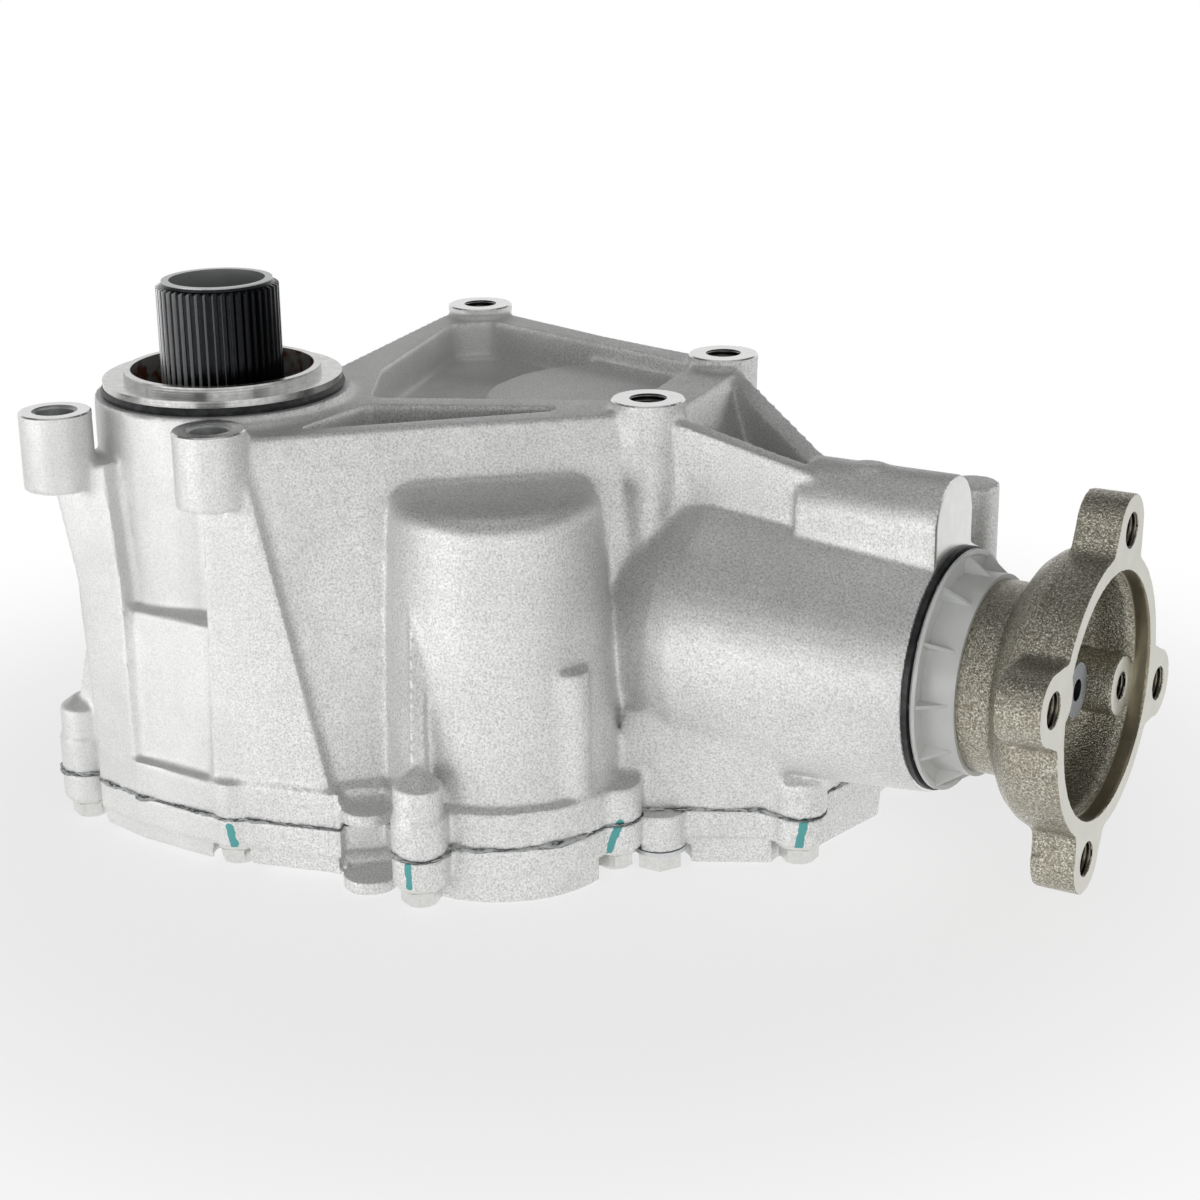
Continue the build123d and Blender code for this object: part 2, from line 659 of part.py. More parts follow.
def end_cover():
    flange_foot = COVER_TOP - COVER_FLANGE
    cover = cover_skirt() + seam_flange(flange_foot, COVER_TOP)
    cover += pry_tab(COVER_FOOT, COVER_FOOT + PRY_THICK) + drain_boss(DRAIN_SEAT, COVER_TOP)
    cover -= prism(moved_in(SEAM_LINE, WALL), FLOOR_TOP, SEAM)
    cover -= rod(0, 0, INPUT_PITCH + MODULE + 2, FLOOR_TOP, SEAM)
    cover -= rod(*BULGE, BULGE_FOOT_R - WALL, FLOOR_TOP, SEAM)
    cover += rod(0, 0, INPUT_BEARING_R + 6, FLOOR_TOP - 1, LOWER_SEAT_TOP)
    cover += rod(*RING_AXIS, RING_BEARING_R + 6, FLOOR_TOP - 1, LOWER_SEAT_TOP)
    cover += rod(*IDLER, IDLER_AXLE_R + 6, FLOOR_TOP - 1, LOWER_SEAT_TOP)
    cuts = [rod(x, y, BOLT_R + BOLT_GAP, COVER_FOOT - 1, SEAM) for x, y in BOLTS]
    cuts += [rod(x, y, BOLT_COLLAR_R + 1, COVER_FOOT - 1, flange_foot) for x, y in BOLTS]
    cuts += [rod(x, y, DOWEL_R + PRESS_GAP, SEAM - DOWEL_LENGTH / 2 - 1, SEAM) for x, y in DOWELS]
    cuts.append(rod(0, 0, INPUT_BEARING_R + PRESS_GAP, FLOOR_TOP, SEAM))
    cuts.append(rod(0, 0, HALFSHAFT_SEAL_R + PRESS_GAP, COVER_FOOT - 1, SEAM))
    cuts.append(rod(*RING_AXIS, RING_BEARING_R + PRESS_GAP, FLOOR_TOP, SEAM))
    cuts.append(rod(*IDLER, IDLER_AXLE_R + PRESS_GAP, FLOOR_TOP, SEAM))
    cuts.append(rod(*DRAIN_PLUG, PLUG_R + SLIDE_GAP, COVER_FOOT - 1, COVER_TOP - 3))
    cuts.append(drain_passage())
    cuts.append(rod(*DRAIN_PLUG, PLUG_HEAD_R + 2.5, COVER_FOOT - 1, DRAIN_SEAT))
    return cover - cuts


def drain_passage():
    """Drilling from the drain plug's hole into the cover."""
    turn = bearing_angle(DRAIN_PLUG, MIDDLE)
    return Pos(*DRAIN_PLUG, FLOOR_TOP + 7) * Rot(0, 0, turn) * Rot(0, 90, 0) * Cylinder(3, 42, align=UP)


def sealant_bead():
    bead = seam_flange(COVER_TOP, SEAM)
    bead -= prism(moved_in(SEAM_LINE, WALL), COVER_TOP - 1, SEAM + 1)
    bead -= rod(0, 0, INPUT_PITCH + MODULE + 2, COVER_TOP - 1, SEAM + 1)
    bead -= rod(*BULGE, BULGE_FOOT_R - WALL, COVER_TOP - 1, SEAM + 1)
    holes = [rod(x, y, BOLT_R + BOLT_GAP, COVER_TOP - 1, SEAM + 1) for x, y in BOLTS]
    holes += [rod(x, y, DOWEL_R + PRESS_GAP, COVER_TOP - 1, SEAM + 1) for x, y in DOWELS]
    return bead - holes


# Fasteners

def hexagon(radius, low, high):
    return Pos(0, 0, low) * extrude(RegularPolygon(radius, 6), high - low)


def cover_bolt():
    """Flanged bolt about the origin, the underside of its collar at z = 0, its head below."""
    bolt = rod(0, 0, BOLT_R, 0, BOLT_LENGTH) + rod(0, 0, BOLT_COLLAR_R, -BOLT_COLLAR, 0)
    return bolt + hexagon(BOLT_HEAD_R, -BOLT_COLLAR - BOLT_HEAD, -BOLT_COLLAR)


def cover_bolts():
    bolt = cover_bolt()
    return Compound(children=[Pos(x, y, COVER_TOP - COVER_FLANGE) * bolt for x, y in BOLTS])


def dowel_pins():
    low = SEAM - DOWEL_LENGTH / 2
    return Compound(children=[rod(x, y, DOWEL_R, low, low + DOWEL_LENGTH) for x, y in DOWELS])


def boss_sleeves():
    """Split dowel sleeves in the holes of bosses A and B, flush with their tops."""
    sleeves = []
    for x, y, r, hole, depth in (BOSS_A, BOSS_B):
        sleeves.append(tube(x, y, hole - PRESS_GAP, hole - 1.2, -14, -1))
    return Compound(children=sleeves)


def plug():
    """Screw plug about the origin, its head below z = 0."""
    return rod(0, 0, PLUG_R, -WASHER, PLUG_LENGTH) + hexagon(PLUG_HEAD_R, -WASHER - PLUG_HEAD, -WASHER)


def plug_washer():
    return tube(0, 0, PLUG_HEAD_R + 1, PLUG_R + SLIDE_GAP, -WASHER, 0)


def at_drain(piece):
    return Pos(*DRAIN_PLUG, DRAIN_SEAT) * piece


def at_fill(piece):
    x, z = FILL_PLUG
    return Pos(x, BACK_FACE, z) * Rot(90, 0, 0) * piece


# Bearings and seals

def bearing_cup(x, y, outer, inner, low, high):
    """Outer race, its track tapering, between a bore and the rollers."""
    middle = (outer + inner) / 2
    return turned_up(x, y, [(outer, low), (outer, high), (middle + 1.4, high), (middle + 3.4, low)])


def bearing_cone(x, y, outer, inner, low, high):
    """Inner race and its rollers, seen as one ring that turns with the shaft."""
    middle = (outer + inner) / 2
    return turned_up(x, y, [
        (inner, low), (middle + 3.4 - TURN_GAP, low), (middle + 1.4 - TURN_GAP, high), (inner, high)])


def laid_out(piece, start, flip=False):
    """A piece about +Z laid along the output axis from a start."""
    return Pos(start, OUT_Y, OUT_Z) * Rot(0, -90 if flip else 90, 0) * piece


def lip_seal(outer, shaft, height):
    """Oil seal about +Z from z = 0: a case ring, a web and a lip that points inwards."""
    return turned_up(0, 0, [
        (outer, 0), (outer, height), (outer - 1.6, height), (outer - 1.6, 2.2), (shaft + 4, 2.2),
        (shaft + 2.6, height - 1), (shaft + SEAL_GAP, height - 2), (shaft + 1.2, 0)])


def input_oil_seal():
    return Pos(0, 0, INPUT_SEAL_FOOT) * lip_seal(INPUT_BEARING_R, INPUT_SHAFT_R, INPUT_SEAL_HEIGHT)


def halfshaft_seal():
    seal = lip_seal(HALFSHAFT_SEAL_R, HALFSHAFT_R, FLOOR_WALL)
    return Pos(0, 0, COVER_FOOT) * seal


def output_seal():
    return laid_out(lip_seal(OUTPUT_SEAL_R - PRESS_GAP, HUB_NOSE_R, OUTPUT_SEAL_WIDTH),
                    TAIL_BEARING_END + 5)


def neck_ring():
    """Rubber ring on the end of the neck, behind the dust shield."""
    return out_rod(SHIELD_R + 0.6, NECK_END, NECK_END + NECK_RING) - out_rod(
        SHIELD_R - 4, NECK_END - 1, NECK_END + 5)


# Input shaft

def spline():
    points = []
    for tooth in range(SPLINE_TEETH):
        centre = 2 * pi * tooth / SPLINE_TEETH
        for radius, half in ((SPLINE_ROOT_R, 0.30), (SPLINE_TIP_R, 0.18)):
            points.append((radius, centre - 2 * pi / SPLINE_TEETH * half))
        for radius, half in ((SPLINE_TIP_R, 0.18), (SPLINE_ROOT_R, 0.30)):
            points.append((radius, centre + 2 * pi / SPLINE_TEETH * half))
    face = make_face(Polyline([(r * cos(a), r * sin(a)) for r, a in points], close=True))
    teeth = Pos(0, 0, SPLINE_FOOT) * extrude(face, SPLINE_TOP - SPLINE_FOOT)
    top = SPLINE_TOP
    return teeth & turned_up(0, 0, [
        (0, SPLINE_FOOT), (SPLINE_TIP_R + 1, SPLINE_FOOT), (SPLINE_TIP_R + 1, top - 2.6),
        (SPLINE_ROOT_R - 0.6, top - 1.4), (SPLINE_ROOT_R - 0.6, top), (0, top)])


def input_shaft():
    shaft = spline() + rod(0, 0, INPUT_SHAFT_R, INPUT_SHAFT_FOOT, SPLINE_FOOT)
    shaft += rod(0, 0, INPUT_SHAFT_R + 3, GEAR_TOP, GEAR_TOP + 6)
    return shaft - rod(0, 0, INPUT_BORE_R, INPUT_SHAFT_FOOT - 1, SPLINE_TOP + 1)


def input_sleeve():
    """Steel sleeve in the top of the tower, with its lip and its flange."""
    return turned_up(0, 0, [
        (SLEEVE_BORE_R, -SLEEVE_DEPTH), (SLEEVE_LIP_R, -SLEEVE_DEPTH), (SLEEVE_LIP_R, SLEEVE_RING_FOOT),
        (SLEEVE_RIM_R, SLEEVE_RING_FOOT), (SLEEVE_RIM_R, SLEEVE_RIM_TOP),
        (SLEEVE_LIP_R, SLEEVE_RIM_TOP), (SLEEVE_LIP_R, SLEEVE_LIP_TOP), (SLEEVE_BORE_R, SLEEVE_LIP_TOP)])


def pilot_ring():
    """Rubber ring between the sleeve's flange and the casting."""
    foot, top = TOWER_TOP, SLEEVE_RING_FOOT
    bulge_r = SLEEVE_RIM_R + 0.9
    return turned_up(0, 0, [
        (SLEEVE_LIP_R + PRESS_GAP, foot), (bulge_r - 0.6, foot), (bulge_r, (foot + top) / 2),
        (bulge_r - 0.6, top), (SLEEVE_LIP_R + PRESS_GAP, top)])


# Idler

def idler_axle():
    return rod(*IDLER, IDLER_AXLE_R, FLOOR_TOP, IDLER_AXLE_TOP)


def idler_gear():
    return spur_gear(IDLER, IDLER_TURN, IDLER_TEETH, IDLER_BUSH_R + PRESS_GAP, GEAR_FOOT, GEAR_TOP)


def idler_bush():
    return tube(*IDLER, IDLER_BUSH_R, IDLER_AXLE_R + SLIDE_GAP, GEAR_FOOT, GEAR_TOP)


def idler_washers():
    outer = IDLER_AXLE_R + 6
    inner = IDLER_AXLE_R + SLIDE_GAP
    return Compound(children=[
        tube(*IDLER, outer, inner, LOWER_SEAT_TOP, LOWER_SEAT_TOP + IDLER_WASHER),
        tube(*IDLER, outer, inner, IDLER_BOSS_FOOT - IDLER_WASHER, IDLER_BOSS_FOOT)])


# Ring gear shaft

def ring_shaft():
    back = ring_gear_back()
    return turned_up(*RING_AXIS, [
        (0, FLOOR_TOP + 1), (RING_SHAFT_R, FLOOR_TOP + 1), (RING_SHAFT_R, back - RING_SHOULDER),
        (RING_SEAT_R + 8, back - RING_SHOULDER), (RING_SEAT_R + 8, back), (RING_SEAT_R, back),
        (RING_SEAT_R, back + RING_BACK), (RING_SHAFT_R, back + RING_BACK + 2),
        (RING_SHAFT_R, RING_SHAFT_TOP - 1), (0, RING_SHAFT_TOP - 1)])


def cone_rise(pitch, other_pitch):
    """Distance from the apex to the root at the heel, along the gear's own axis."""
    return other_pitch + ROOT_DEPTH * pitch / CONE_DISTANCE


def ring_gear_back():
    return OUT_Z - cone_rise(RING_PITCH, PINION_PITCH) - RING_BACK


def ring_gear():
    gear = bevel_gear(RING_PITCH, PINION_PITCH, RING_TEETH, RING_BACK, RING_SEAT_R + PRESS_GAP,
                      180 / RING_TEETH)
    return Pos(*RING_AXIS, OUT_Z) * Rot(180, 0, 0) * gear


def driven_gear():
    return spur_gear(RING_AXIS, driven_turn(), DRIVEN_TEETH, RING_SHAFT_R + PRESS_GAP,
                     GEAR_FOOT, GEAR_TOP)


# Output shaft

def pinion_shaft():
    back = PINION_HEAD - RING_AXIS_X - cone_rise(PINION_PITCH, RING_PITCH)
    gear = bevel_gear(PINION_PITCH, RING_PITCH, PINION_TEETH, back, 0, 0)
    shaft = laid_out(gear, RING_AXIS_X)
    shaft += out_rod(PINION_SHAFT_R, PINION_HEAD, TAIL_BEARING_END)
    shaft += out_rod(PINION_SPLINE_R, TAIL_BEARING_END, CUP_FLOOR)
    shaft += out_rod(PINION_THREAD_R, CUP_FLOOR, PINION_END)
    return shaft - out_rod(3.75, PINION_END - 6, PINION_END + 1)


def pinion_cups():
    head = bearing_cup(0, 0, HEAD_BEARING_R, PINION_SHAFT_R, 0, HEAD_BEARING_WIDTH)
    tail = bearing_cup(0, 0, TAIL_BEARING_R, PINION_SHAFT_R, 0, TAIL_BEARING_WIDTH)
    return Compound(children=[laid_out(head, PINION_HEAD), laid_out(tail, TAIL_BEARING_END, flip=True)])


def pinion_cones():
    inner = PINION_SHAFT_R + PRESS_GAP
    head = bearing_cone(0, 0, HEAD_BEARING_R, inner, 0, HEAD_BEARING_WIDTH)
    tail = bearing_cone(0, 0, TAIL_BEARING_R, inner, 0, TAIL_BEARING_WIDTH)
    return Compound(children=[laid_out(head, PINION_HEAD), laid_out(tail, TAIL_BEARING_END, flip=True)])


def crush_sleeve():
    start = PINION_HEAD + HEAD_BEARING_WIDTH
    end = TAIL_BEARING_END - TAIL_BEARING_WIDTH
    return out_rod(PINION_SHAFT_R + 2.5, start, end) - out_rod(PINION_SHAFT_R + 0.3, start - 1, end + 1)


def on_flange(radius, angle):
    """A point of the flange, at a radius and an angle from the top."""
    turn = radians(angle + FLANGE_TURN)
    return OUT_Y + radius * sin(turn), OUT_Z + radius * cos(turn)


def flange_body():
    """Hub, cup and ring of the flange, with the pilot bore and the groove behind it."""
    start = TAIL_BEARING_END
    floor = CUP_FLOOR
    pilot = FLANGE_FACE - FLANGE_PILOT_DEPTH
    groove = pilot - PILOT_GROOVE
    swell = FLANGE_RING_R - HUB_R
    shoulder = [(CUP_BACK + 13.5 * along, HUB_R + swell * out) for along, out in (
        (0, 0), (0.08, 0.3), (0.33, 0.66), (0.66, 0.9), (1, 1))]
    return turned_out([
        (start, PINION_SPLINE_R + PRESS_GAP), (start, HUB_NOSE_R), (SHIELD_BACK - 1, HUB_NOSE_R),
        (SHIELD_BACK, HUB_R), *shoulder, (FLANGE_FACE, FLANGE_RING_R), (FLANGE_FACE, FLANGE_PILOT_R),
        (pilot, FLANGE_PILOT_R), (pilot, FLANGE_PILOT_R + 0.6), (groove, FLANGE_PILOT_R + 0.6),
        (groove, CUP_R), (floor + 8, CUP_R - 1.5), (floor + 3, CUP_R - 6), (floor, CUP_R - 12),
        (floor, PINION_SPLINE_R + PRESS_GAP)])


def flange_lobe(index):
    """Ear round one bolt hole, widening towards the ring."""
    reach = FLANGE_PCD / 2
    root = FLANGE_RING_R - 6
    ear = Polyline([(root, -LOBE_R - 3, 0), (reach, -LOBE_R, 0), (reach, LOBE_R, 0),
                    (root, LOBE_R + 3, 0)], close=True)
    lobe = extrude(make_face(ear), LOBE_THICK) + Pos(reach, 0, 0) * Cylinder(LOBE_R, LOBE_THICK, align=UP)
    return laid_out(Rot(0, 0, 180 - 90 * index - FLANGE_TURN) * lobe, FLANGE_FACE - LOBE_THICK)


def output_flange():
    flange = flange_body() + [flange_lobe(index) for index in range(4)]
    flange += [puller_boss(side) for side in (-1, 1)]
    holes = []
    for index in range(4):
        y, z = on_flange(FLANGE_PCD / 2, 90 * index)
        holes.append(out_rod(FLANGE_HOLE_R, FLANGE_FACE - LOBE_THICK - 8, FLANGE_FACE + 1, y, z))
    for side in (-1, 1):
        y, z = on_flange(PULLER_PLACE, 90 * side)
        holes.append(out_rod(PULLER_HOLE_R, CUP_FLOOR + 6, FLANGE_FACE, y, z))
    return flange - holes


def puller_boss(side):
    """Boss inside the cup for a puller's screw."""
    y, z = on_flange(PULLER_PLACE, 90 * side)
    return out_rod(PULLER_BOSS_R, CUP_FLOOR + 4, FLANGE_FACE - FLANGE_PILOT_DEPTH, y, z)


def pinion_nut():
    nut = laid_out(hexagon(NUT_R, 0, NUT_HEIGHT), CUP_FLOOR + NUT_WASHER)
    return nut - out_rod(PINION_THREAD_R + PRESS_GAP, CUP_FLOOR, FLANGE_FACE)


def pinion_washer():
    return out_rod(NUT_R + 1, CUP_FLOOR, CUP_FLOOR + NUT_WASHER) - out_rod(
        PINION_THREAD_R + PRESS_GAP, CUP_FLOOR - 1, FLANGE_FACE)


def dust_shield():
    """Plastic shield on the flange's hub, a channel open towards the flange with ribs across it."""
    start = SHIELD_BACK
    wall = SHIELD_WALL
    inner = HUB_R + PRESS_GAP
    rim = start + SHIELD_RIM
    end = start + SHIELD_DEPTH
    shield = turned_out([
        (start, inner), (start, SHIELD_R - 1), (start + 1, SHIELD_R), (rim, SHIELD_R), (rim, SHIELD_R - wall),
        (start + wall, SHIELD_R - wall - 1), (start + wall, inner + wall), (end, inner + wall), (end, inner)])
    half = 0.6
    for index in range(SHIELD_RIBS):
        angle = 360 * index / SHIELD_RIBS
        rib = make_face(Polyline([
            (0, 0, inner + wall / 2), (0, 0, SHIELD_R - wall / 2), (rim - start, 0, SHIELD_R - wall / 2),
            (end - start - 1, 0, inner + wall / 2)], close=True))
        rib = Pos(0, -half, 0) * extrude(rib, 2 * half, dir=(0, 1, 0))
        shield += Pos(start, OUT_Y, OUT_Z) * Rot(angle, 0, 0) * rib
    return shield


PARTS = {
    "main_case": main_case,
    "end_cover": end_cover,
    "sealant_bead": sealant_bead,
    "cover_bolts": cover_bolts,
    "dowel_pins": dowel_pins,
    "boss_sleeves": boss_sleeves,
    "drain_plug": lambda: at_drain(plug()),
    "drain_plug_washer": lambda: at_drain(plug_washer()),
    "fill_plug": lambda: at_fill(plug()),
    "fill_plug_washer": lambda: at_fill(plug_washer()),
    "input_sleeve": input_sleeve,
    "pilot_ring": pilot_ring,
    "input_oil_seal": input_oil_seal,
    "halfshaft_seal": halfshaft_seal,
    "output_seal": output_seal,
    "neck_ring": neck_ring,
    "input_upper_cup": lambda: bearing_cup(
        0, 0, INPUT_BEARING_R, INPUT_SHAFT_R, INPUT_SEAT, INPUT_SEAT + INPUT_BEARING_WIDTH),
    "input_upper_cone": lambda: bearing_cone(
        0, 0, INPUT_BEARING_R, INPUT_SHAFT_R + PRESS_GAP, INPUT_SEAT, INPUT_SEAT + INPUT_BEARING_WIDTH),
    "input_lower_cup": lambda: bearing_cup(
        0, 0, INPUT_BEARING_R, INPUT_SHAFT_R, FLOOR_TOP, LOWER_SEAT_TOP),
    "input_lower_cone": lambda: bearing_cone(
        0, 0, INPUT_BEARING_R, INPUT_SHAFT_R + PRESS_GAP, FLOOR_TOP + 0.4, LOWER_SEAT_TOP),
    "input_shaft": input_shaft,
    "input_gear": lambda: spur_gear(
        (0, 0), INPUT_TURN, INPUT_TEETH, INPUT_SHAFT_R + PRESS_GAP, GEAR_FOOT, GEAR_TOP),
    "idler_axle": idler_axle,
    "idler_gear": idler_gear,
    "idler_bush": idler_bush,
    "idler_washers": idler_washers,
    "ring_upper_cup": lambda: bearing_cup(
        *RING_AXIS, RING_BEARING_R, RING_SHAFT_R, RING_SHAFT_TOP - RING_BEARING_WIDTH, RING_SHAFT_TOP),
    "ring_upper_cone": lambda: bearing_cone(
        *RING_AXIS, RING_BEARING_R, RING_SHAFT_R + PRESS_GAP,
        RING_SHAFT_TOP - RING_BEARING_WIDTH, RING_SHAFT_TOP - 0.4),
    "ring_lower_cup": lambda: bearing_cup(
        *RING_AXIS, RING_BEARING_R, RING_SHAFT_R, FLOOR_TOP, LOWER_SEAT_TOP),
    "ring_lower_cone": lambda: bearing_cone(
        *RING_AXIS, RING_BEARING_R, RING_SHAFT_R + PRESS_GAP, FLOOR_TOP + 0.4, LOWER_SEAT_TOP),
    "ring_shaft": ring_shaft,
    "driven_gear": driven_gear,
    "ring_gear": ring_gear,
    "pinion_shaft": pinion_shaft,
    "pinion_cups": pinion_cups,
    "pinion_cones": pinion_cones,
    "crush_sleeve": crush_sleeve,
    "output_flange": output_flange,
    "pinion_nut": pinion_nut,
    "pinion_washer": pinion_washer,
    "dust_shield": dust_shield,
}

os.makedirs("parts", exist_ok=True)
for name, make in PARTS.items():
    export_step(make(), f"parts/{name}.step")
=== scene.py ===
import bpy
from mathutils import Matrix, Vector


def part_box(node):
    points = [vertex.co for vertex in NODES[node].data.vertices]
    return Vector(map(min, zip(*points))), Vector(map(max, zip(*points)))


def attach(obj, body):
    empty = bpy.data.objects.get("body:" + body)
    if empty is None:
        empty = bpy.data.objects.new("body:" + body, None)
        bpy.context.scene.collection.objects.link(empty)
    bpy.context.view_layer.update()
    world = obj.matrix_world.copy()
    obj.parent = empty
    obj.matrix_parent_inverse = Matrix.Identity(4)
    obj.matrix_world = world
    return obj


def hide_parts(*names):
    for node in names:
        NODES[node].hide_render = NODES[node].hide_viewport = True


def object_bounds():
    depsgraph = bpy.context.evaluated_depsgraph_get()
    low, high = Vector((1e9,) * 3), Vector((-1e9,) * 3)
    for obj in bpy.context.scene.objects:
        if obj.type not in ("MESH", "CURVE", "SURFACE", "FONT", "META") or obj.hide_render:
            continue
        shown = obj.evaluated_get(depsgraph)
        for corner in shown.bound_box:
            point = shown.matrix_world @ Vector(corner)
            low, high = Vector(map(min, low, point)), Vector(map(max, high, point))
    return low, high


bl_info = {
    "name": "Transfer case",
    "version": (1, 0, 0),
    "blender": (4, 5, 0),
    "location": "View3D > Sidebar > Transfer case",
    "description": "Castings, flange, bolts, sealant and studio for a transfer case",
    "category": "Object",
}

import bmesh
import bpy
import numpy as np
from bpy.props import FloatProperty, FloatVectorProperty, IntProperty, PointerProperty
from bpy.types import Operator, Panel, PropertyGroup
from mathutils import Matrix, Vector

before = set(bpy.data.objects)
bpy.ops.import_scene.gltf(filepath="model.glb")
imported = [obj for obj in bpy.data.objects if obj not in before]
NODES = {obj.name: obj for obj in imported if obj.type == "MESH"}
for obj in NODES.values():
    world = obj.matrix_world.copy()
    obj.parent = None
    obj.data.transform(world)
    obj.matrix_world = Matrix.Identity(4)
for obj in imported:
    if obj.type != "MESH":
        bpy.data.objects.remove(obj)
CAD_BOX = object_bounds()
MM = 0.001

# Sizes and places of the castings, in millimetres
OUTPUT_Y, OUTPUT_Z = 66.5, -82.3
# Mounting bosses: x, y, outside radius, hole radius, depth of the hole's bright wall
BOSSES = [
    (-30.3, -53.4, 12.4, 7.75, 14.0),
    (33.0, -48.3, 12.4, 7.75, 14.0),
    (0.5, 163.8, 12.9, 6.5, 14.0),
    (131.0, 129.9, 12.9, 6.5, 14.0),
    (140.4, 56.6, 12.9, 6.5, 14.0),
]
SMALLEST_PLAIN_HOLE = 7.0   # wider boss holes hold a sleeve and have no thread
CAP_DEPTH = 2.4             # milled cap on each boss
NECK_FACE = 250.6           # the output neck's milled end lies past this X
DOME = (110.5, 5.0)
DOME_TOP = -24.0
DOME_RADIUS = 35.8          # below its shoulder
DOME_ROUND = 7.3
DOME_SKIN_FOOT = (36.95, -50.0)   # radius and height where the skin meets the dome's wall
REAR_DOWEL = (57.0, 180.5)
DOWEL_LUG = 5.6
CASE_JOINT, COVER_JOINT = 13.0, 10.0   # thickness of the joint flange on each casting
PILOT_RADIUS, PILOT_DEPTH = 41.2, 5.6  # recess in the flange's face
FACING = 0.35               # cut off the flange's face, which leaves it flat
SHAFT_BORE, SLEEVE_BORE = 17.0, 32.2   # radii inside which a bore's own finish shows
SHAFT_END = 38.6            # the shaft's turned end face lies above this
BOLT_SEAT = 7.6             # from a bolt head's end to the face it clamps
# Holes of the flange: distance from its axis, radius, depth, and angle in degrees
FLANGE_BOLTS = [(54.35, 5.75, 24.0, 90 * turn + 14) for turn in range(4)]
FLANGE_PULLERS = [(30.6, 4.5, 15.0, 180 * turn - 76) for turn in range(2)]
# Angles in degrees past which an edge is shaded sharp
CASTING_EDGE, BOLT_EDGE = 32, 28


# Colour and node helpers

def linear(colour):
    """Linear RGBA of an sRGB hex colour such as '#c8cacc'."""
    shares = [int(colour[i:i + 2], 16) / 255 for i in (1, 3, 5)]
    return [s / 12.92 if s <= 0.04045 else ((s + 0.055) / 1.055) ** 2.4 for s in shares] + [1.0]


def fill(tree, made, inputs):
    """Give a node's inputs another node's output, a hex colour or a plain value."""
    for key, value in inputs.items():
        if isinstance(value, bpy.types.NodeSocket):
            tree.links.new(value, made.inputs[key])
        else:
            made.inputs[key].default_value = linear(value) if isinstance(value, str) else value


def add(tree, kind, inputs=None, out=0, stops=(), **settings):
    """Add a node with its settings, links and colour stops; give one output, or all for out=None."""
    made = tree.nodes.new(kind)
    for name, value in settings.items():
        setattr(made, name, value)
    fill(tree, made, inputs or {})
    if stops:
        elements = made.color_ramp.elements
        while len(elements) < len(stops):
            elements.new(0.5)
        for element, (position, colour) in zip(elements, stops):
            element.position = position
            element.color = linear(colour)
    return made.outputs if out is None else made.outputs[out]


def material(name):
    """An empty material, its node tree and its shader."""
    made = bpy.data.materials.new(name)
    made.use_nodes = True
    return made, made.node_tree, made.node_tree.nodes["Principled BSDF"]


# Materials

def die_cast_aluminium(settings):
    """Aluminium alloy cast in a steel die, then shot-blasted: a dull silver grey that sparkles finely.

    The blasting shows most on the walls; towards the left, over the legs by the left bosses, the pits are
    shallower and the colour turns to the plain, pale skin colour, painted paler as painted light from the
    left.
    """
    made, tree, shader = material("die_cast_aluminium")
    where = add(tree, "ShaderNodeTexCoord", out="Object")
    along = add(tree, "ShaderNodeSeparateXYZ", {0: where}, out="X")
    # towards the left the colour is painted paler, as painted light from the left, and the pits are
    # shallower
    blast_and_painted_light = add(tree, "ShaderNodeMapRange", {0: along, 1: 0.020, 2: 0.060, 3: 0.4, 4: 1.0})
    # pits of about 0.2 mm, drawn at the grain's size so that they show
    grain = add(tree, "ShaderNodeTexNoise", {
        "Vector": where, "Scale": 1 / settings.grain, "Detail": 1.5, "Roughness": 0.7})
    speckle = add(tree, "ShaderNodeValToRGB", {0: grain}, stops=[
        (0.30, "#c4c4c3"), (0.50, "#e6e6e5"), (0.70, "#fbfbfa")])
    # the skin colour is the painted light on the left part
    smooth = (*settings.skin, 1)
    skin = add(tree, "ShaderNodeMix", {0: blast_and_painted_light, 6: smooth, 7: speckle}, out=2, data_type="RGBA")
    # cast skin varies over a few centimetres where the metal froze first
    patches = add(tree, "ShaderNodeTexNoise", {"Vector": where, "Scale": 1 / (38 * MM), "Detail": 3.0})
    patch = add(tree, "ShaderNodeMapRange", {0: patches, 1: 0.38, 2: 0.72, 3: 0.0, 4: 0.20})
    colour = add(tree, "ShaderNodeMix", {0: patch, 6: skin, 7: "#a9a9a8"}, out=2, data_type="RGBA")
    stained = add(tree, "ShaderNodeTexNoise", {"Vector": where, "Scale": 1 / (6 * MM), "Detail": 4.0})
    rough = add(tree, "ShaderNodeMapRange", {0: stained, 3: 0.48, 4: 0.64})
    waves = add(tree, "ShaderNodeTexNoise", {"Vector": where, "Scale": 1 / (9 * MM), "Detail": 2.0})
    strength = add(tree, "ShaderNodeMath", {0: blast_and_painted_light, 1: 0.5}, operation="MULTIPLY")
    pits = add(tree, "ShaderNodeBump", {"Height": grain, "Distance": 0.09 * MM, "Strength": strength})
    surface = add(tree, "ShaderNodeBump", {
        "Height": waves, "Distance": 0.25 * MM, "Strength": 0.35, "Normal": pits})
    colour = painted(tree, where, colour, (*settings.paint, 1))
    fill(tree, shader, {"Base Color": colour, "Metallic": 0.8, "Roughness": rough, "Normal": surface})
    return made


# Inspection strokes in millimetres: upper end, lower end, half width
STROKES = [
    ((38.3, -57.4, -138.8), (39.5, -56.9, -145.2), 1.5),
    ((111.9, -55.6, -137.4), (112.3, -55.5, -145.0), 1.2),
    ((158.3, 4.0, -135.2), (154.3, 1.9, -146.1), 1.5),
    ((211.3, 38.1, -136.6), (209.9, 37.3, -145.6), 1.5),
]


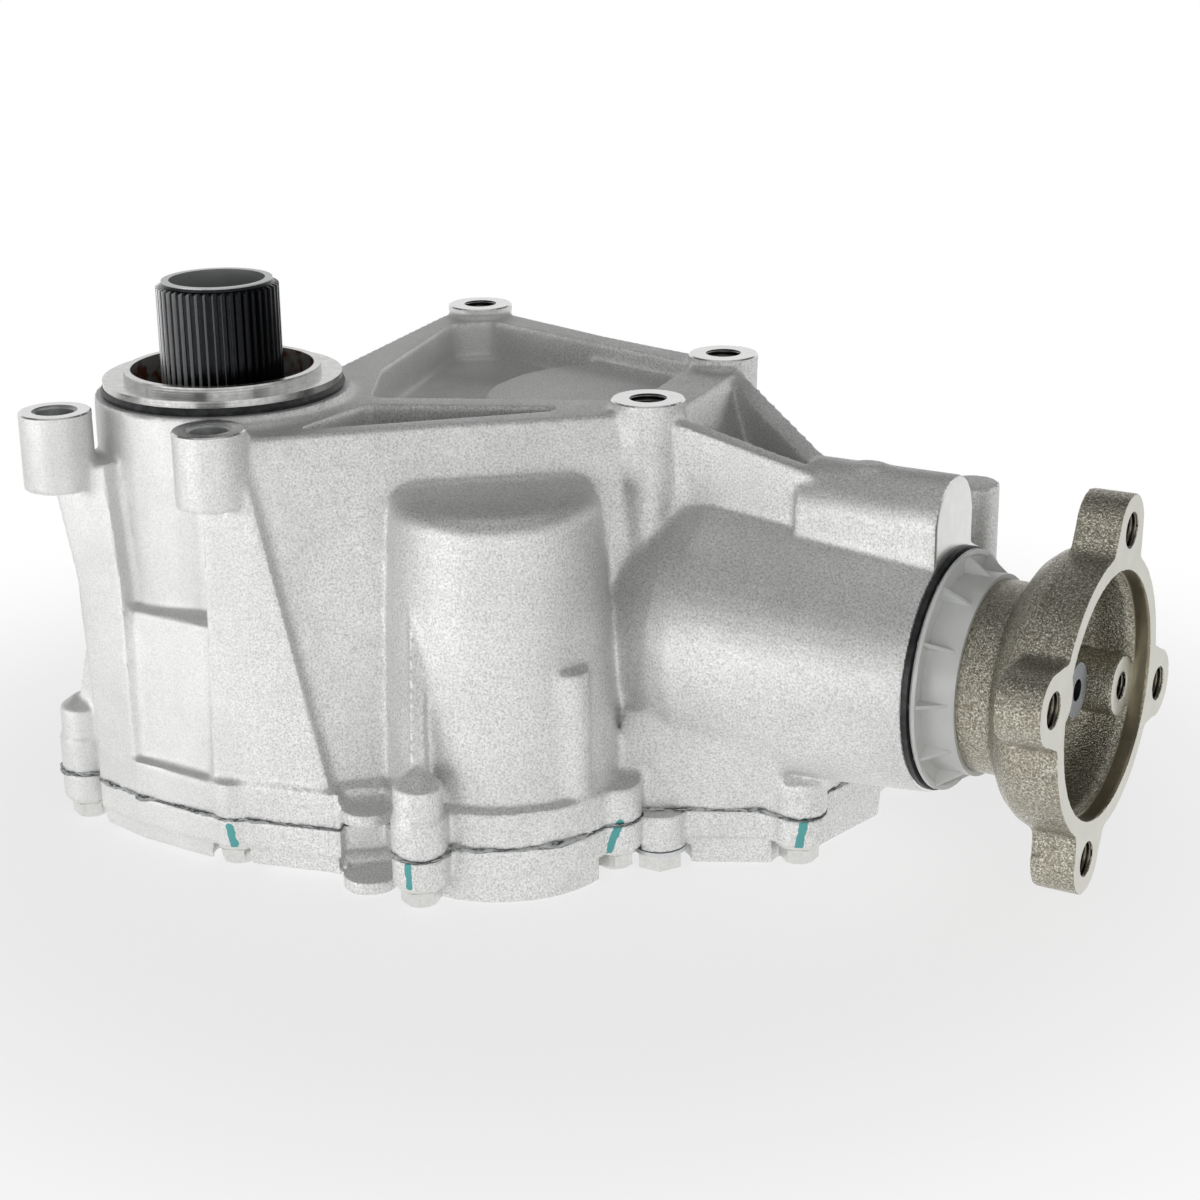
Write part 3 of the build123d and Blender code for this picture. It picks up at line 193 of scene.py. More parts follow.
def painted(tree, where, under, paint):
    """Strokes of teal paint pen, one on each checked bolt's lug: flat, with slightly ragged sides."""
    ragged = add(tree, "ShaderNodeTexNoise", {
        "Vector": where, "Scale": 1 / (1.6 * MM), "Detail": 2.0}, out="Color")
    shift = add(tree, "ShaderNodeVectorMath", {0: ragged, 1: (0.5, 0.5, 0.5)}, operation="SUBTRACT")
    shift = add(tree, "ShaderNodeVectorMath", {0: shift, "Scale": 1.3 * MM}, operation="SCALE")
    moved = add(tree, "ShaderNodeVectorMath", {0: where, 1: shift}, operation="ADD")
    inside = None
    for upper, lower, half in STROKES:
        run = Vector(lower) * MM - Vector(upper) * MM
        off = add(tree, "ShaderNodeVectorMath", {0: moved, 1: Vector(upper) * MM}, operation="SUBTRACT")
        along = add(tree, "ShaderNodeVectorMath", {
            0: off, 1: run / run.length_squared}, out="Value", operation="DOT_PRODUCT")
        share = add(tree, "ShaderNodeClamp", {0: along})
        nearest = add(tree, "ShaderNodeVectorMath", {0: run, "Scale": share}, operation="SCALE")
        away = add(tree, "ShaderNodeVectorMath", {0: off, 1: nearest}, out="Value", operation="DISTANCE")
        stroke = add(tree, "ShaderNodeMath", {0: away, 1: half * MM}, operation="LESS_THAN")
        if inside is None:
            inside = stroke
        else:
            inside = add(tree, "ShaderNodeMath", {0: inside, 1: stroke}, operation="MAXIMUM")
    return add(tree, "ShaderNodeMix", {0: inside, 6: under, 7: paint}, out=2, data_type="RGBA")


# Period in metres of Blender's wave texture at scale 1
WAVE = 2 * np.pi / 20


def milled_aluminium():
    """The same alloy faced with a milling cutter: bright, with faint curved tool marks."""
    made, tree, shader = material("milled_aluminium")
    where = add(tree, "ShaderNodeTexCoord", out="Object")
    # feed marks of about 0.3 mm, drawn 1 mm apart so that they show
    marks = add(tree, "ShaderNodeTexWave", {
        "Vector": where, "Scale": WAVE / (1.0 * MM), "Distortion": 1.2, "Detail": 2.0},
        wave_type="RINGS", rings_direction="Z")
    tone = add(tree, "ShaderNodeTexNoise", {"Vector": where, "Scale": 1 / (4 * MM)})
    colour = add(tree, "ShaderNodeMix", {0: tone, 6: "#e0e0df", 7: "#f0f0ef"}, out=2, data_type="RGBA")
    fill(tree, shader, {
        "Base Color": colour, "Metallic": 0.85, "Roughness": 0.24,
        "Normal": add(tree, "ShaderNodeBump", {"Height": marks, "Distance": 0.02 * MM, "Strength": 0.25})})
    return made


def tapped_hole(name, crest, shaded_root, direction, pitch):
    """Wall of a drilled and tapped hole, painted darker than the metal outside as painted shade in the hole,
    and darkest in the thread roots as painted shade in the grooves.
    """
    made, tree, shader = material(name)
    where = add(tree, "ShaderNodeTexCoord", out="Object")
    thread = add(tree, "ShaderNodeTexWave", {"Vector": where, "Scale": WAVE / pitch, "Distortion": 0.3},
                 wave_type="BANDS", bands_direction=direction)
    # the dark stop lies in the thread roots that the bump sinks: painted shade
    colour = add(tree, "ShaderNodeValToRGB", {0: thread}, stops=[(0.35, shaded_root), (0.85, crest)])
    fill(tree, shader, {
        "Base Color": colour, "Metallic": 0.9, "Roughness": 0.30,
        "Normal": add(tree, "ShaderNodeBump", {"Height": thread, "Distance": 0.5 * MM, "Strength": 0.8})})
    return made


def steel(name, dark, light, rough):
    """Machined or plated steel: smooth, its tone and its gloss a little uneven from handling."""
    made, tree, shader = material(name)
    where = add(tree, "ShaderNodeTexCoord", out="Object")
    tone = add(tree, "ShaderNodeTexNoise", {"Vector": where, "Scale": 1 / (1.2 * MM), "Detail": 4.0})
    handled = add(tree, "ShaderNodeTexNoise", {"Vector": where, "Scale": 1 / (5 * MM), "Detail": 3.0})
    fill(tree, shader, {
        "Base Color": add(tree, "ShaderNodeMix", {0: tone, 6: dark, 7: light}, out=2, data_type="RGBA"),
        "Metallic": 0.95,
        "Roughness": add(tree, "ShaderNodeMapRange", {0: handled, 3: rough - 0.05, 4: rough + 0.07}),
        "Normal": add(tree, "ShaderNodeBump", {"Height": tone, "Distance": 0.02 * MM, "Strength": 0.3})})
    return made


def spline_with_painted_highlight(black, dull, bright, cut_face):
    """Induction-hardened steel, black from heat and oil, with one side of each tooth painted near white and
    less metallic as a painted highlight.

    The end face and the bore were turned after hardening, so they are grey and plain.
    """
    made, tree, shader = material("hardened_spline_steel")
    given = add(tree, "ShaderNodeTexCoord", out=None)
    sideways = add(tree, "ShaderNodeVectorMath", {
        0: (0, 0, 1), 1: given["Object"]}, operation="CROSS_PRODUCT")
    radius = add(tree, "ShaderNodeVectorMath", {0: sideways}, out="Value", operation="LENGTH")
    height = add(tree, "ShaderNodeSeparateXYZ", {0: given["Object"]}, out="Z")
    bore = add(tree, "ShaderNodeMath", {0: radius, 1: SHAFT_BORE * MM}, operation="LESS_THAN")
    end = add(tree, "ShaderNodeMath", {0: height, 1: SHAFT_END * MM}, operation="GREATER_THAN")
    cut = add(tree, "ShaderNodeMath", {0: bore, 1: end}, operation="MAXIMUM")
    sideways = add(tree, "ShaderNodeVectorMath", {0: sideways}, operation="NORMALIZE")
    facing = add(tree, "ShaderNodeVectorMath", {
        0: sideways, 1: given["Normal"]}, out="Value", operation="DOT_PRODUCT")
    # one side of every tooth, facing the same way round the axis, is painted near white and less metallic: a
    # painted highlight
    highlit_flank = add(tree, "ShaderNodeMapRange", {0: facing, 1: 0.45, 2: 0.7})
    scuffs = add(tree, "ShaderNodeTexNoise", {
        "Vector": given["Object"], "Scale": 1 / (1.2 * MM), "Detail": 4.0})
    ground = add(tree, "ShaderNodeMix", {0: scuffs, 6: black, 7: dull}, out=2, data_type="RGBA")
    highlighted = add(tree, "ShaderNodeMix", {0: highlit_flank, 6: ground, 7: bright}, out=2, data_type="RGBA")
    # the painted highlight and the turned faces are less metallic
    worked = add(tree, "ShaderNodeMath", {0: highlit_flank, 1: cut}, operation="MAXIMUM")
    fill(tree, shader, {
        "Base Color": add(tree, "ShaderNodeMix", {0: cut, 6: highlighted, 7: cut_face}, out=2, data_type="RGBA"),
        "Metallic": add(tree, "ShaderNodeMapRange", {0: worked, 3: 0.95, 4: 0.45}), "Roughness": 0.24,
        "Normal": add(tree, "ShaderNodeBump", {"Height": scuffs, "Distance": 0.02 * MM, "Strength": 0.3})})
    return made


def turned_sleeve(dark, light, rust, wall):
    """Steel sleeve finished on a lathe: polished outside, with a duller bore that has a little rust."""
    made, tree, shader = material("turned_sleeve_steel")
    where = add(tree, "ShaderNodeTexCoord", out="Object")
    # feed marks of about 0.2 mm, drawn 1 mm apart so that they show
    rings = add(tree, "ShaderNodeTexWave", {"Vector": where, "Scale": WAVE / (1.0 * MM), "Distortion": 0.6},
                wave_type="BANDS", bands_direction="Z")
    tone = add(tree, "ShaderNodeTexNoise", {"Vector": where, "Scale": 1 / (2 * MM), "Detail": 4.0})
    stain = add(tree, "ShaderNodeTexNoise", {"Vector": where, "Scale": 1 / (7 * MM), "Detail": 5.0})
    flat = add(tree, "ShaderNodeVectorMath", {0: where, 1: (1, 1, 0)}, operation="MULTIPLY")
    radius = add(tree, "ShaderNodeVectorMath", {0: flat}, out="Value", operation="LENGTH")
    bore = add(tree, "ShaderNodeMath", {0: radius, 1: SLEEVE_BORE * MM}, operation="LESS_THAN")
    outer = add(tree, "ShaderNodeMix", {0: tone, 6: dark, 7: light}, out=2, data_type="RGBA")
    rusted = add(tree, "ShaderNodeMapRange", {0: stain, 1: 0.48, 2: 0.60})
    inner = add(tree, "ShaderNodeMix", {0: rusted, 6: wall, 7: rust}, out=2, data_type="RGBA")
    fill(tree, shader, {
        "Base Color": add(tree, "ShaderNodeMix", {0: bore, 6: outer, 7: inner}, out=2, data_type="RGBA"),
        "Metallic": add(tree, "ShaderNodeMapRange", {0: bore, 3: 0.95, 4: 0.2}),
        "Roughness": add(tree, "ShaderNodeMapRange", {0: stain, 3: 0.12, 4: 0.30}),
        "Normal": add(tree, "ShaderNodeBump", {"Height": rings, "Distance": 0.02 * MM, "Strength": 0.35})})
    return made


def rubber(name, dark, light):
    """Moulded nitrile rubber: near black, with a soft sheen and a little dust or rust on it."""
    made, tree, shader = material(name)
    where = add(tree, "ShaderNodeTexCoord", out="Object")
    dust = add(tree, "ShaderNodeTexNoise", {"Vector": where, "Scale": 1 / (3 * MM), "Detail": 5.0})
    share = add(tree, "ShaderNodeMapRange", {0: dust, 1: 0.42, 2: 0.75})
    fill(tree, shader, {
        "Base Color": add(tree, "ShaderNodeMix", {0: share, 6: dark, 7: light}, out=2, data_type="RGBA"),
        "Metallic": 0.0, "Roughness": 0.45,
        "Normal": add(tree, "ShaderNodeBump", {"Height": dust, "Distance": 0.05 * MM, "Strength": 0.3})})
    return made


def sealant(name, crack, body, rim, size):
    """Grey anaerobic sealant, squeezed out and skinned over: matt, darkened in its low folds as painted
    shade, and paler on its crests.
    """
    made, tree, shader = material(name)
    where = add(tree, "ShaderNodeTexCoord", out="Object")
    flat = add(tree, "ShaderNodeMapping", {0: where, "Scale": (1, 1, 2.6)})
    folds = add(tree, "ShaderNodeTexNoise", {
        "Vector": flat, "Scale": 1 / (size * MM), "Detail": 4.0, "Roughness": 0.6, "Distortion": 0.8})
    # the darkest stop lies in the low folds of the bumps: painted shade in the creases
    colour = add(tree, "ShaderNodeValToRGB", {0: folds}, stops=[(0.38, crack), (0.46, body), (0.68, rim)])
    fill(tree, shader, {
        "Base Color": colour, "Metallic": 0.0, "Roughness": 0.5,
        "Normal": add(tree, "ShaderNodeBump", {"Height": folds, "Distance": 0.4 * MM, "Strength": 0.7})})
    return made


def coated_iron(settings):
    """Ductile iron from a sand mould under a thin zinc-nickel coat: olive grey, rough, full of glints."""
    made, tree, shader = material("coated_iron")
    where = add(tree, "ShaderNodeTexCoord", out="Object")
    # moulding sand of about 0.5 mm, drawn at the grain's size so that it shows
    sand = add(tree, "ShaderNodeTexNoise", {
        "Vector": where, "Scale": 1 / settings.sand, "Detail": 3.0, "Roughness": 0.62})
    stain = add(tree, "ShaderNodeTexNoise", {"Vector": where, "Scale": 1 / (14 * MM), "Detail": 4.0})
    grains = add(tree, "ShaderNodeValToRGB", {0: sand}, stops=[
        (0.32, "#6a665a"), (0.50, "#a5a192"), (0.66, "#dedbce")])
    share = add(tree, "ShaderNodeMapRange", {0: stain, 1: 0.42, 2: 0.72, 3: 0.0, 4: 0.25})
    lumps = add(tree, "ShaderNodeTexNoise", {"Vector": where, "Scale": 1 / (3.5 * MM), "Detail": 2.0})
    heights = add(tree, "ShaderNodeBump", {"Height": sand, "Distance": 0.6 * MM, "Strength": 1.0})
    stained = (*settings.stain, 1)
    colour = add(tree, "ShaderNodeMix", {0: share, 6: grains, 7: stained}, out=2, data_type="RGBA")
    fill(tree, shader, {
        "Base Color": colour, "Metallic": 0.95, "Roughness": 0.24,
        "Normal": add(tree, "ShaderNodeBump", {
            "Height": lumps, "Distance": 0.35 * MM, "Strength": 0.5, "Normal": heights})})
    return made


def turned_iron(name, dark, light, rough):
    """The same iron cut on a lathe: smooth and pale, with rings about the output axis."""
    made, tree, shader = material(name)
    where = add(tree, "ShaderNodeTexCoord", out="Object")
    axis = add(tree, "ShaderNodeMapping", {0: where, "Location": (0, -OUTPUT_Y * MM, -OUTPUT_Z * MM)})
    # feed marks of about 0.3 mm, drawn 1 mm apart so that they show
    rings = add(tree, "ShaderNodeTexWave", {"Vector": axis, "Scale": WAVE / (1.0 * MM), "Distortion": 0.8},
                wave_type="RINGS", rings_direction="X")
    stain = add(tree, "ShaderNodeTexNoise", {"Vector": axis, "Scale": 1 / (9 * MM), "Detail": 4.0})
    fill(tree, shader, {
        "Base Color": add(tree, "ShaderNodeMix", {0: stain, 6: dark, 7: light}, out=2, data_type="RGBA"),
        "Metallic": 0.8, "Roughness": rough,
        "Normal": add(tree, "ShaderNodeBump", {"Height": rings, "Distance": 0.02 * MM, "Strength": 0.3})})
    return made


def milky_polypropylene():
    """Injection-moulded natural polypropylene: milky and satin, and it lets some light in."""
    made, tree, shader = material("milky_polypropylene")
    where = add(tree, "ShaderNodeTexCoord", out="Object")
    cloud = add(tree, "ShaderNodeTexNoise", {"Vector": where, "Scale": 1 / (11 * MM), "Detail": 3.0})
    orange_peel = add(tree, "ShaderNodeTexNoise", {"Vector": where, "Scale": 1 / (2 * MM)})
    colour = add(tree, "ShaderNodeMix", {0: cloud, 6: "#eceeeb", 7: "#fafbf9"}, out=2, data_type="RGBA")
    peel = add(tree, "ShaderNodeBump", {"Height": orange_peel, "Distance": 0.03 * MM, "Strength": 0.2})
    fill(tree, shader, {
        "Base Color": colour, "Metallic": 0.0, "Roughness": 0.30, "IOR": 1.49, "Transmission Weight": 0.15,
        "Subsurface Weight": 0.3, "Subsurface Radius": (4 * MM, 4 * MM, 4 * MM), "Subsurface Scale": 1.0,
        "Normal": peel})
    return made


# Mesh helpers

def shown(name, mesh):
    """A new object of the scene with this mesh."""
    piece = bpy.data.objects.new(name, mesh)
    bpy.context.scene.collection.objects.link(piece)
    return piece


def applied(piece):
    """The piece's mesh with its modifiers worked in."""
    evaluated = piece.evaluated_get(bpy.context.evaluated_depsgraph_get())
    mesh = bpy.data.meshes.new_from_object(evaluated)
    mesh.name = piece.name
    piece.modifiers.clear()
    piece.data = mesh
    return piece


def node_tree(name, sockets):
    """Empty Geometry Nodes tree with geometry in and out, and named inputs."""
    tree = bpy.data.node_groups.new(name, "GeometryNodeTree")
    tree.interface.new_socket("Geometry", in_out="INPUT", socket_type="NodeSocketGeometry")
    for socket, kind in sockets:
        tree.interface.new_socket(socket, in_out="INPUT", socket_type=kind)
    tree.interface.new_socket("Geometry", in_out="OUTPUT", socket_type="NodeSocketGeometry")
    return tree


def run_nodes(piece, tree, values):
    """Run a tree on a piece with its named inputs set, and keep the mesh that comes out."""
    modifier = piece.modifiers.new("nodes", "NODES")
    modifier.node_group = tree
    for item in tree.interface.items_tree:
        if item.name in values:
            modifier[item.identifier] = values[item.name]
    return applied(piece)


def merged_copy(name, node):
    """Copy of a CAD node with its loose triangles joined."""
    mesh = NODES[node].data.copy()
    work = bmesh.new()
    work.from_mesh(mesh)
    bmesh.ops.remove_doubles(work, verts=work.verts, dist=1e-6)
    work.to_mesh(mesh)
    work.free()
    mesh.materials.clear()
    return shown(name, mesh)


def points_of(mesh):
    """Places of a mesh's vertices, one row each."""
    found = np.empty(len(mesh.vertices) * 3, np.float32)
    mesh.vertices.foreach_get("co", found)
    return found.reshape(-1, 3).astype(float)


def normals_of(mesh):
    """Outward directions at a mesh's vertices, one row each."""
    found = np.empty(len(mesh.vertices) * 3, np.float32)
    mesh.vertex_normals.foreach_get("vector", found)
    return found.reshape(-1, 3).astype(float)


def soften(mesh, fill_steps, smooth_steps):
    """Fill inner corners with a casting's fillets, and round the outer edges a little."""
    edges = np.empty(len(mesh.edges) * 2, np.int32)
    mesh.edges.foreach_get("vertices", edges)
    first, second = edges[0::2], edges[1::2]
    count = len(mesh.vertices)
    neighbours = np.bincount(first, minlength=count) + np.bincount(second, minlength=count)
    points = points_of(mesh)
    for step in range(fill_steps):
        if step % 6 == 0:
            mesh.vertices.foreach_set("co", points.astype(np.float32).ravel())
            mesh.update()
            normals = normals_of(mesh)
        middle = np.empty_like(points)
        for axis in range(3):
            values = points[:, axis]
            middle[:, axis] = np.bincount(first, values[second], count)
            middle[:, axis] += np.bincount(second, values[first], count)
        move = middle / neighbours[:, None] - points
        outwards = np.einsum("ij,ij->i", move, normals) > 0
        free = outwards | (step < smooth_steps)
        points += move * (0.5 * free)[:, None]
    mesh.vertices.foreach_set("co", points.astype(np.float32).ravel())
    mesh.update()


def turned(bm, centre, direction, profile, sides):
    """Rings of a profile of radii and distances turned about a direction, joined from each to the next."""
    turn = Vector((0, 0, 1)).rotation_difference(Vector(direction)).to_matrix().to_4x4()
    made = []
    for size, height in profile:
        ring = []
        for i in range(sides):
            angle = 2 * np.pi * i / sides
            point = Vector((size * np.cos(angle), size * np.sin(angle), height)) * MM
            ring.append(bm.verts.new(turn @ point + Vector(centre) * MM))
        made.append(ring)
    for lower, upper in zip(made, made[1:]):
        for i in range(sides):
            bm.faces.new((lower[i - 1], lower[i], upper[i], upper[i - 1]))
    return made


def cylinder(bm, centre, direction, radius, low, high, chamfer=0.0, sides=72):
    """Closed round bar in a bmesh, along a direction, between two distances from its centre."""
    profile = [(radius, low), (radius, high - chamfer)]
    if chamfer:
        profile.append((radius - chamfer, high))
    made = turned(bm, centre, direction, profile, sides)
    bm.faces.new(list(reversed(made[0])))
    bm.faces.new(made[-1])


def dowel_lug(bm, low, high):
    """Small lug of the joint flange round the rear dowel, between two heights."""
    cylinder(bm, (*REAR_DOWEL, 0), (0, 0, 1), DOWEL_LUG, low, high)


def dome_skin(bm):
    """Skin that fills out the shoulder of the case's dome to the cast part's tighter rounding.

    Its inner side lies in the dome's thick wall, out of sight.
    """
    middle, start = DOME_RADIUS - DOME_ROUND, DOME_TOP - DOME_ROUND
    turns = np.linspace(0, np.pi / 2, 9)
    shoulder = [(middle + DOME_ROUND * np.cos(a), start + DOME_ROUND * np.sin(a)) for a in turns]
    outside = [DOME_SKIN_FOOT, *shoulder, (14, DOME_TOP)]
    inside = [(14, DOME_TOP - 4), (24.5, DOME_TOP - 4), (31.5, DOME_TOP - 12), (32.5, DOME_SKIN_FOOT[1])]
    made = turned(bm, (*DOME, 0), (0, 0, 1), [*outside, *inside, outside[0]], 128)
    bmesh.ops.remove_doubles(bm, verts=made[0] + made[-1], dist=1e-6)


def cut(piece, operation, build):
    """Join to a piece, or cut out of it, what a function builds in a bmesh."""
    bm = bmesh.new()
    build(bm)
    mesh = bpy.data.meshes.new("tool")
    bm.to_mesh(mesh)
    bm.free()
    tool = shown("tool", mesh)
    modifier = piece.modifiers.new("cut", "BOOLEAN")
    modifier.operation = operation
    modifier.solver = "MANIFOLD"
    modifier.object = tool
    before = len(piece.data.vertices)
    applied(piece)
    bpy.data.objects.remove(tool)
    if len(piece.data.vertices) < before / 3:
        raise RuntimeError(f"cutting {piece.name} lost most of it")
    return piece


def remeshed(piece, voxel, fill_steps, smooth_steps, faces):
    """Turn a sharp piece into one with a casting's soft edges."""
    modifier = piece.modifiers.new("voxels", "REMESH")
    modifier.mode = "VOXEL"
    modifier.voxel_size = voxel
    applied(piece)
    soften(piece.data, fill_steps, smooth_steps)
    triangles = 2 * len(piece.data.polygons)
    if triangles > faces:
        modifier = piece.modifiers.new("fewer", "DECIMATE")
        modifier.ratio = faces / triangles
        applied(piece)
    return piece


def finish_mesh(piece, materials, choose):
    """Smooth shading with its sharp edges kept, and each face's material by its middle and normal."""
    mesh = piece.data
    mesh.materials.clear()
    for entry in materials:
        mesh.materials.append(entry)
    count = len(mesh.polygons)
    centres = np.empty(count * 3, np.float32)
    normals = np.empty(count * 3, np.float32)
    mesh.polygons.foreach_get("center", centres)
    mesh.polygons.foreach_get("normal", normals)
    chosen = choose(centres.reshape(-1, 3) / MM, normals.reshape(-1, 3))
    mesh.polygons.foreach_set("material_index", chosen.astype(np.int32))
    mesh.shade_smooth()
    mesh.set_sharp_from_angle(angle=np.radians(CASTING_EDGE))
    mesh.update()


# Settings

class CastingSettings(PropertyGroup):
    grain: FloatProperty(
        name="Grain", description="Size of the blasted grain", default=0.7 * MM, unit="LENGTH", precision=5)
    voxel: FloatProperty(
        name="Voxel", description="Fineness of the castings", default=1.0 * MM, unit="LENGTH", precision=5)
    fill_steps: IntProperty(name="Fillets", description="Steps that fill the inner corners", default=16)
    smooth_steps: IntProperty(name="Edges", description="Steps that round the outer edges", default=2)
    faces: IntProperty(name="Triangles", description="Most triangles in a casting", default=190000)
    # the skin colour is laid on the left part, painted paler there as painted light from the left
    skin: FloatVectorProperty(
        name="Skin", description="Colour of the smooth die skin", subtype="COLOR",
        default=linear("#ebebea")[:3])
    paint: FloatVectorProperty(
        name="Paint", description="Colour of the inspection strokes", subtype="COLOR",
        default=linear("#62a9a8")[:3])


class FlangeSettings(PropertyGroup):
    sand: FloatProperty(
        name="Sand", description="Size of the sand grain on the flange", default=0.7 * MM, unit="LENGTH",
        precision=5)
    voxel: FloatProperty(
        name="Voxel", description="Fineness of the flange", default=0.8 * MM, unit="LENGTH", precision=5)
    fill_steps: IntProperty(name="Fillets", description="Steps that fill the inner corners", default=22)
    smooth_steps: IntProperty(name="Edges", description="Steps that round the outer edges", default=4)
    faces: IntProperty(name="Triangles", description="Most triangles in the flange", default=150000)
    stain: FloatVectorProperty(
        name="Stain", description="Colour of the stains on the coat", subtype="COLOR",
        default=linear("#8a8169")[:3])


class SealantSettings(PropertyGroup):
    size: FloatProperty(
        name="Bead", description="Radius of the squeezed sealant", default=0.6 * MM, unit="LENGTH",
        precision=5)
    waviness: FloatProperty(
        name="Waviness", description="How far the bead wanders", default=3.6 * MM, unit="LENGTH",
        precision=5)
    seed: IntProperty(name="Seed", description="Seed of the bead's wandering", default=4)


class BoltSettings(PropertyGroup):
    across_flats: FloatProperty(
        name="Across flats", description="Width of the hexagon", default=12.0 * MM, unit="LENGTH",
        precision=5)
    head: FloatProperty(
        name="Head", description="Height of the hexagon", default=6.0 * MM, unit="LENGTH", precision=5)
    collar: FloatProperty(
        name="Collar", description="Radius of the collar", default=8.2 * MM, unit="LENGTH", precision=5)


class StageSettings(PropertyGroup):
    key: FloatProperty(
        name="Key lamp", description="Power of the low lamp in front", default=3.6, unit="POWER")
    fill: FloatProperty(
        name="Fill lamp", description="Power of the lamp on the right", default=2.5, unit="POWER")
    sky: FloatProperty(name="Sky", description="Strength of the soft light from all round", default=0.6)
    ceiling: FloatProperty(
        name="Ceiling", description="How bright the room looks in the metal, above and in front",
        default=0.08)
    floor: FloatVectorProperty(
        name="Floor", description="Colour of the floor", subtype="COLOR", default=(0.9, 0.9, 0.9))


# Pieces

class TRANSFER_OT_case_casting(Operator):
    """Cast case with soft corners and machined bosses"""
    bl_idname = "transfer.case_casting"
    bl_label = "Case casting"

    def execute(self, context):
        settings = context.scene.casting
        piece = merged_copy("case_casting", "main_case")
        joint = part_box("main_case")[0].z / MM
        cut(piece, "UNION", dome_skin)
        cut(piece, "UNION", lambda bm: dowel_lug(bm, joint, joint + CASE_JOINT))
        remeshed(piece, settings.voxel, settings.fill_steps, settings.smooth_steps, settings.faces)

        def caps(bm):
            for x, y, radius, hole, depth in BOSSES:
                cylinder(bm, (x, y, 0), (0, 0, 1), radius, -CAP_DEPTH, 0, chamfer=0.5)

        def holes(bm):
            for x, y, radius, hole, depth in BOSSES:
                cylinder(bm, (x, y, 0), (0, 0, 1), hole, -depth, 3)

        cut(piece, "UNION", caps)
        cut(piece, "DIFFERENCE", holes)

        def choose(centres, normals):
            kind = np.zeros(len(centres), int)
            z = centres[:, 2]
            for x, y, radius, hole, depth in BOSSES:
                away = np.hypot(centres[:, 0] - x, centres[:, 1] - y)
                wall = (away < hole + 0.2) & (z > -depth - 0.5) & (z < -0.2)
                kind[(away < radius + 0.1) & (z > -0.6) & (normals[:, 2] > 0.5)] = 1
                kind[wall] = 2 if hole < SMALLEST_PLAIN_HOLE else 1
            kind[(centres[:, 0] > NECK_FACE) & (normals[:, 0] > 0.9)] = 1
            return kind

        finish_mesh(piece, [MATERIALS["cast"], MATERIALS["milled"], MATERIALS["boss_hole"]], choose)
        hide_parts("main_case")
        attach(piece, "case")
        return {"FINISHED"}


class TRANSFER_OT_cover_casting(Operator):
    """Cast end cover"""
    bl_idname = "transfer.cover_casting"
    bl_label = "Cover casting"

    def execute(self, context):
        settings = context.scene.casting
        piece = merged_copy("cover_casting", "end_cover")
        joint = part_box("end_cover")[1].z / MM
        cut(piece, "UNION", lambda bm: dowel_lug(bm, joint - COVER_JOINT, joint))
        fill_steps = settings.fill_steps // 2
        remeshed(piece, settings.voxel * 0.8, fill_steps, settings.smooth_steps, settings.faces)
        finish_mesh(piece, [MATERIALS["cast"]], lambda centres, normals: np.zeros(len(centres), int))
        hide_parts("end_cover")
        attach(piece, "case")
        return {"FINISHED"}


def joint_outline():
    """Points round the outer edge of the sealant's solid, in order."""
    mesh = merged_copy("joint", "sealant_bead").data
    top = max(v.co.z for v in mesh.vertices)
    used = {}
    for polygon in mesh.polygons:
        if polygon.normal.z > 0.9 and all(abs(mesh.vertices[i].co.z - top) < 1e-5 for i in polygon.vertices):
            for key in polygon.edge_keys:
                used[key] = used.get(key, 0) + 1
    open_edges = [key for key, times in used.items() if times == 1]
    links = {}
    for a, b in open_edges:
        links.setdefault(a, []).append(b)
        links.setdefault(b, []).append(a)
    loops = []
    left = set(links)
    while left:
        start = left.pop()
        loop = [start]
        following = links[start][0]
        while following != start:
            loop.append(following)
            left.discard(following)
            following = [i for i in links[following] if i != loop[-2]][0]
        loops.append([mesh.vertices[i].co.copy() for i in loop])
    bpy.data.objects.remove(bpy.data.objects["joint"])
    return max(loops, key=lambda loop: max(p.x for p in loop) - min(p.x for p in loop))


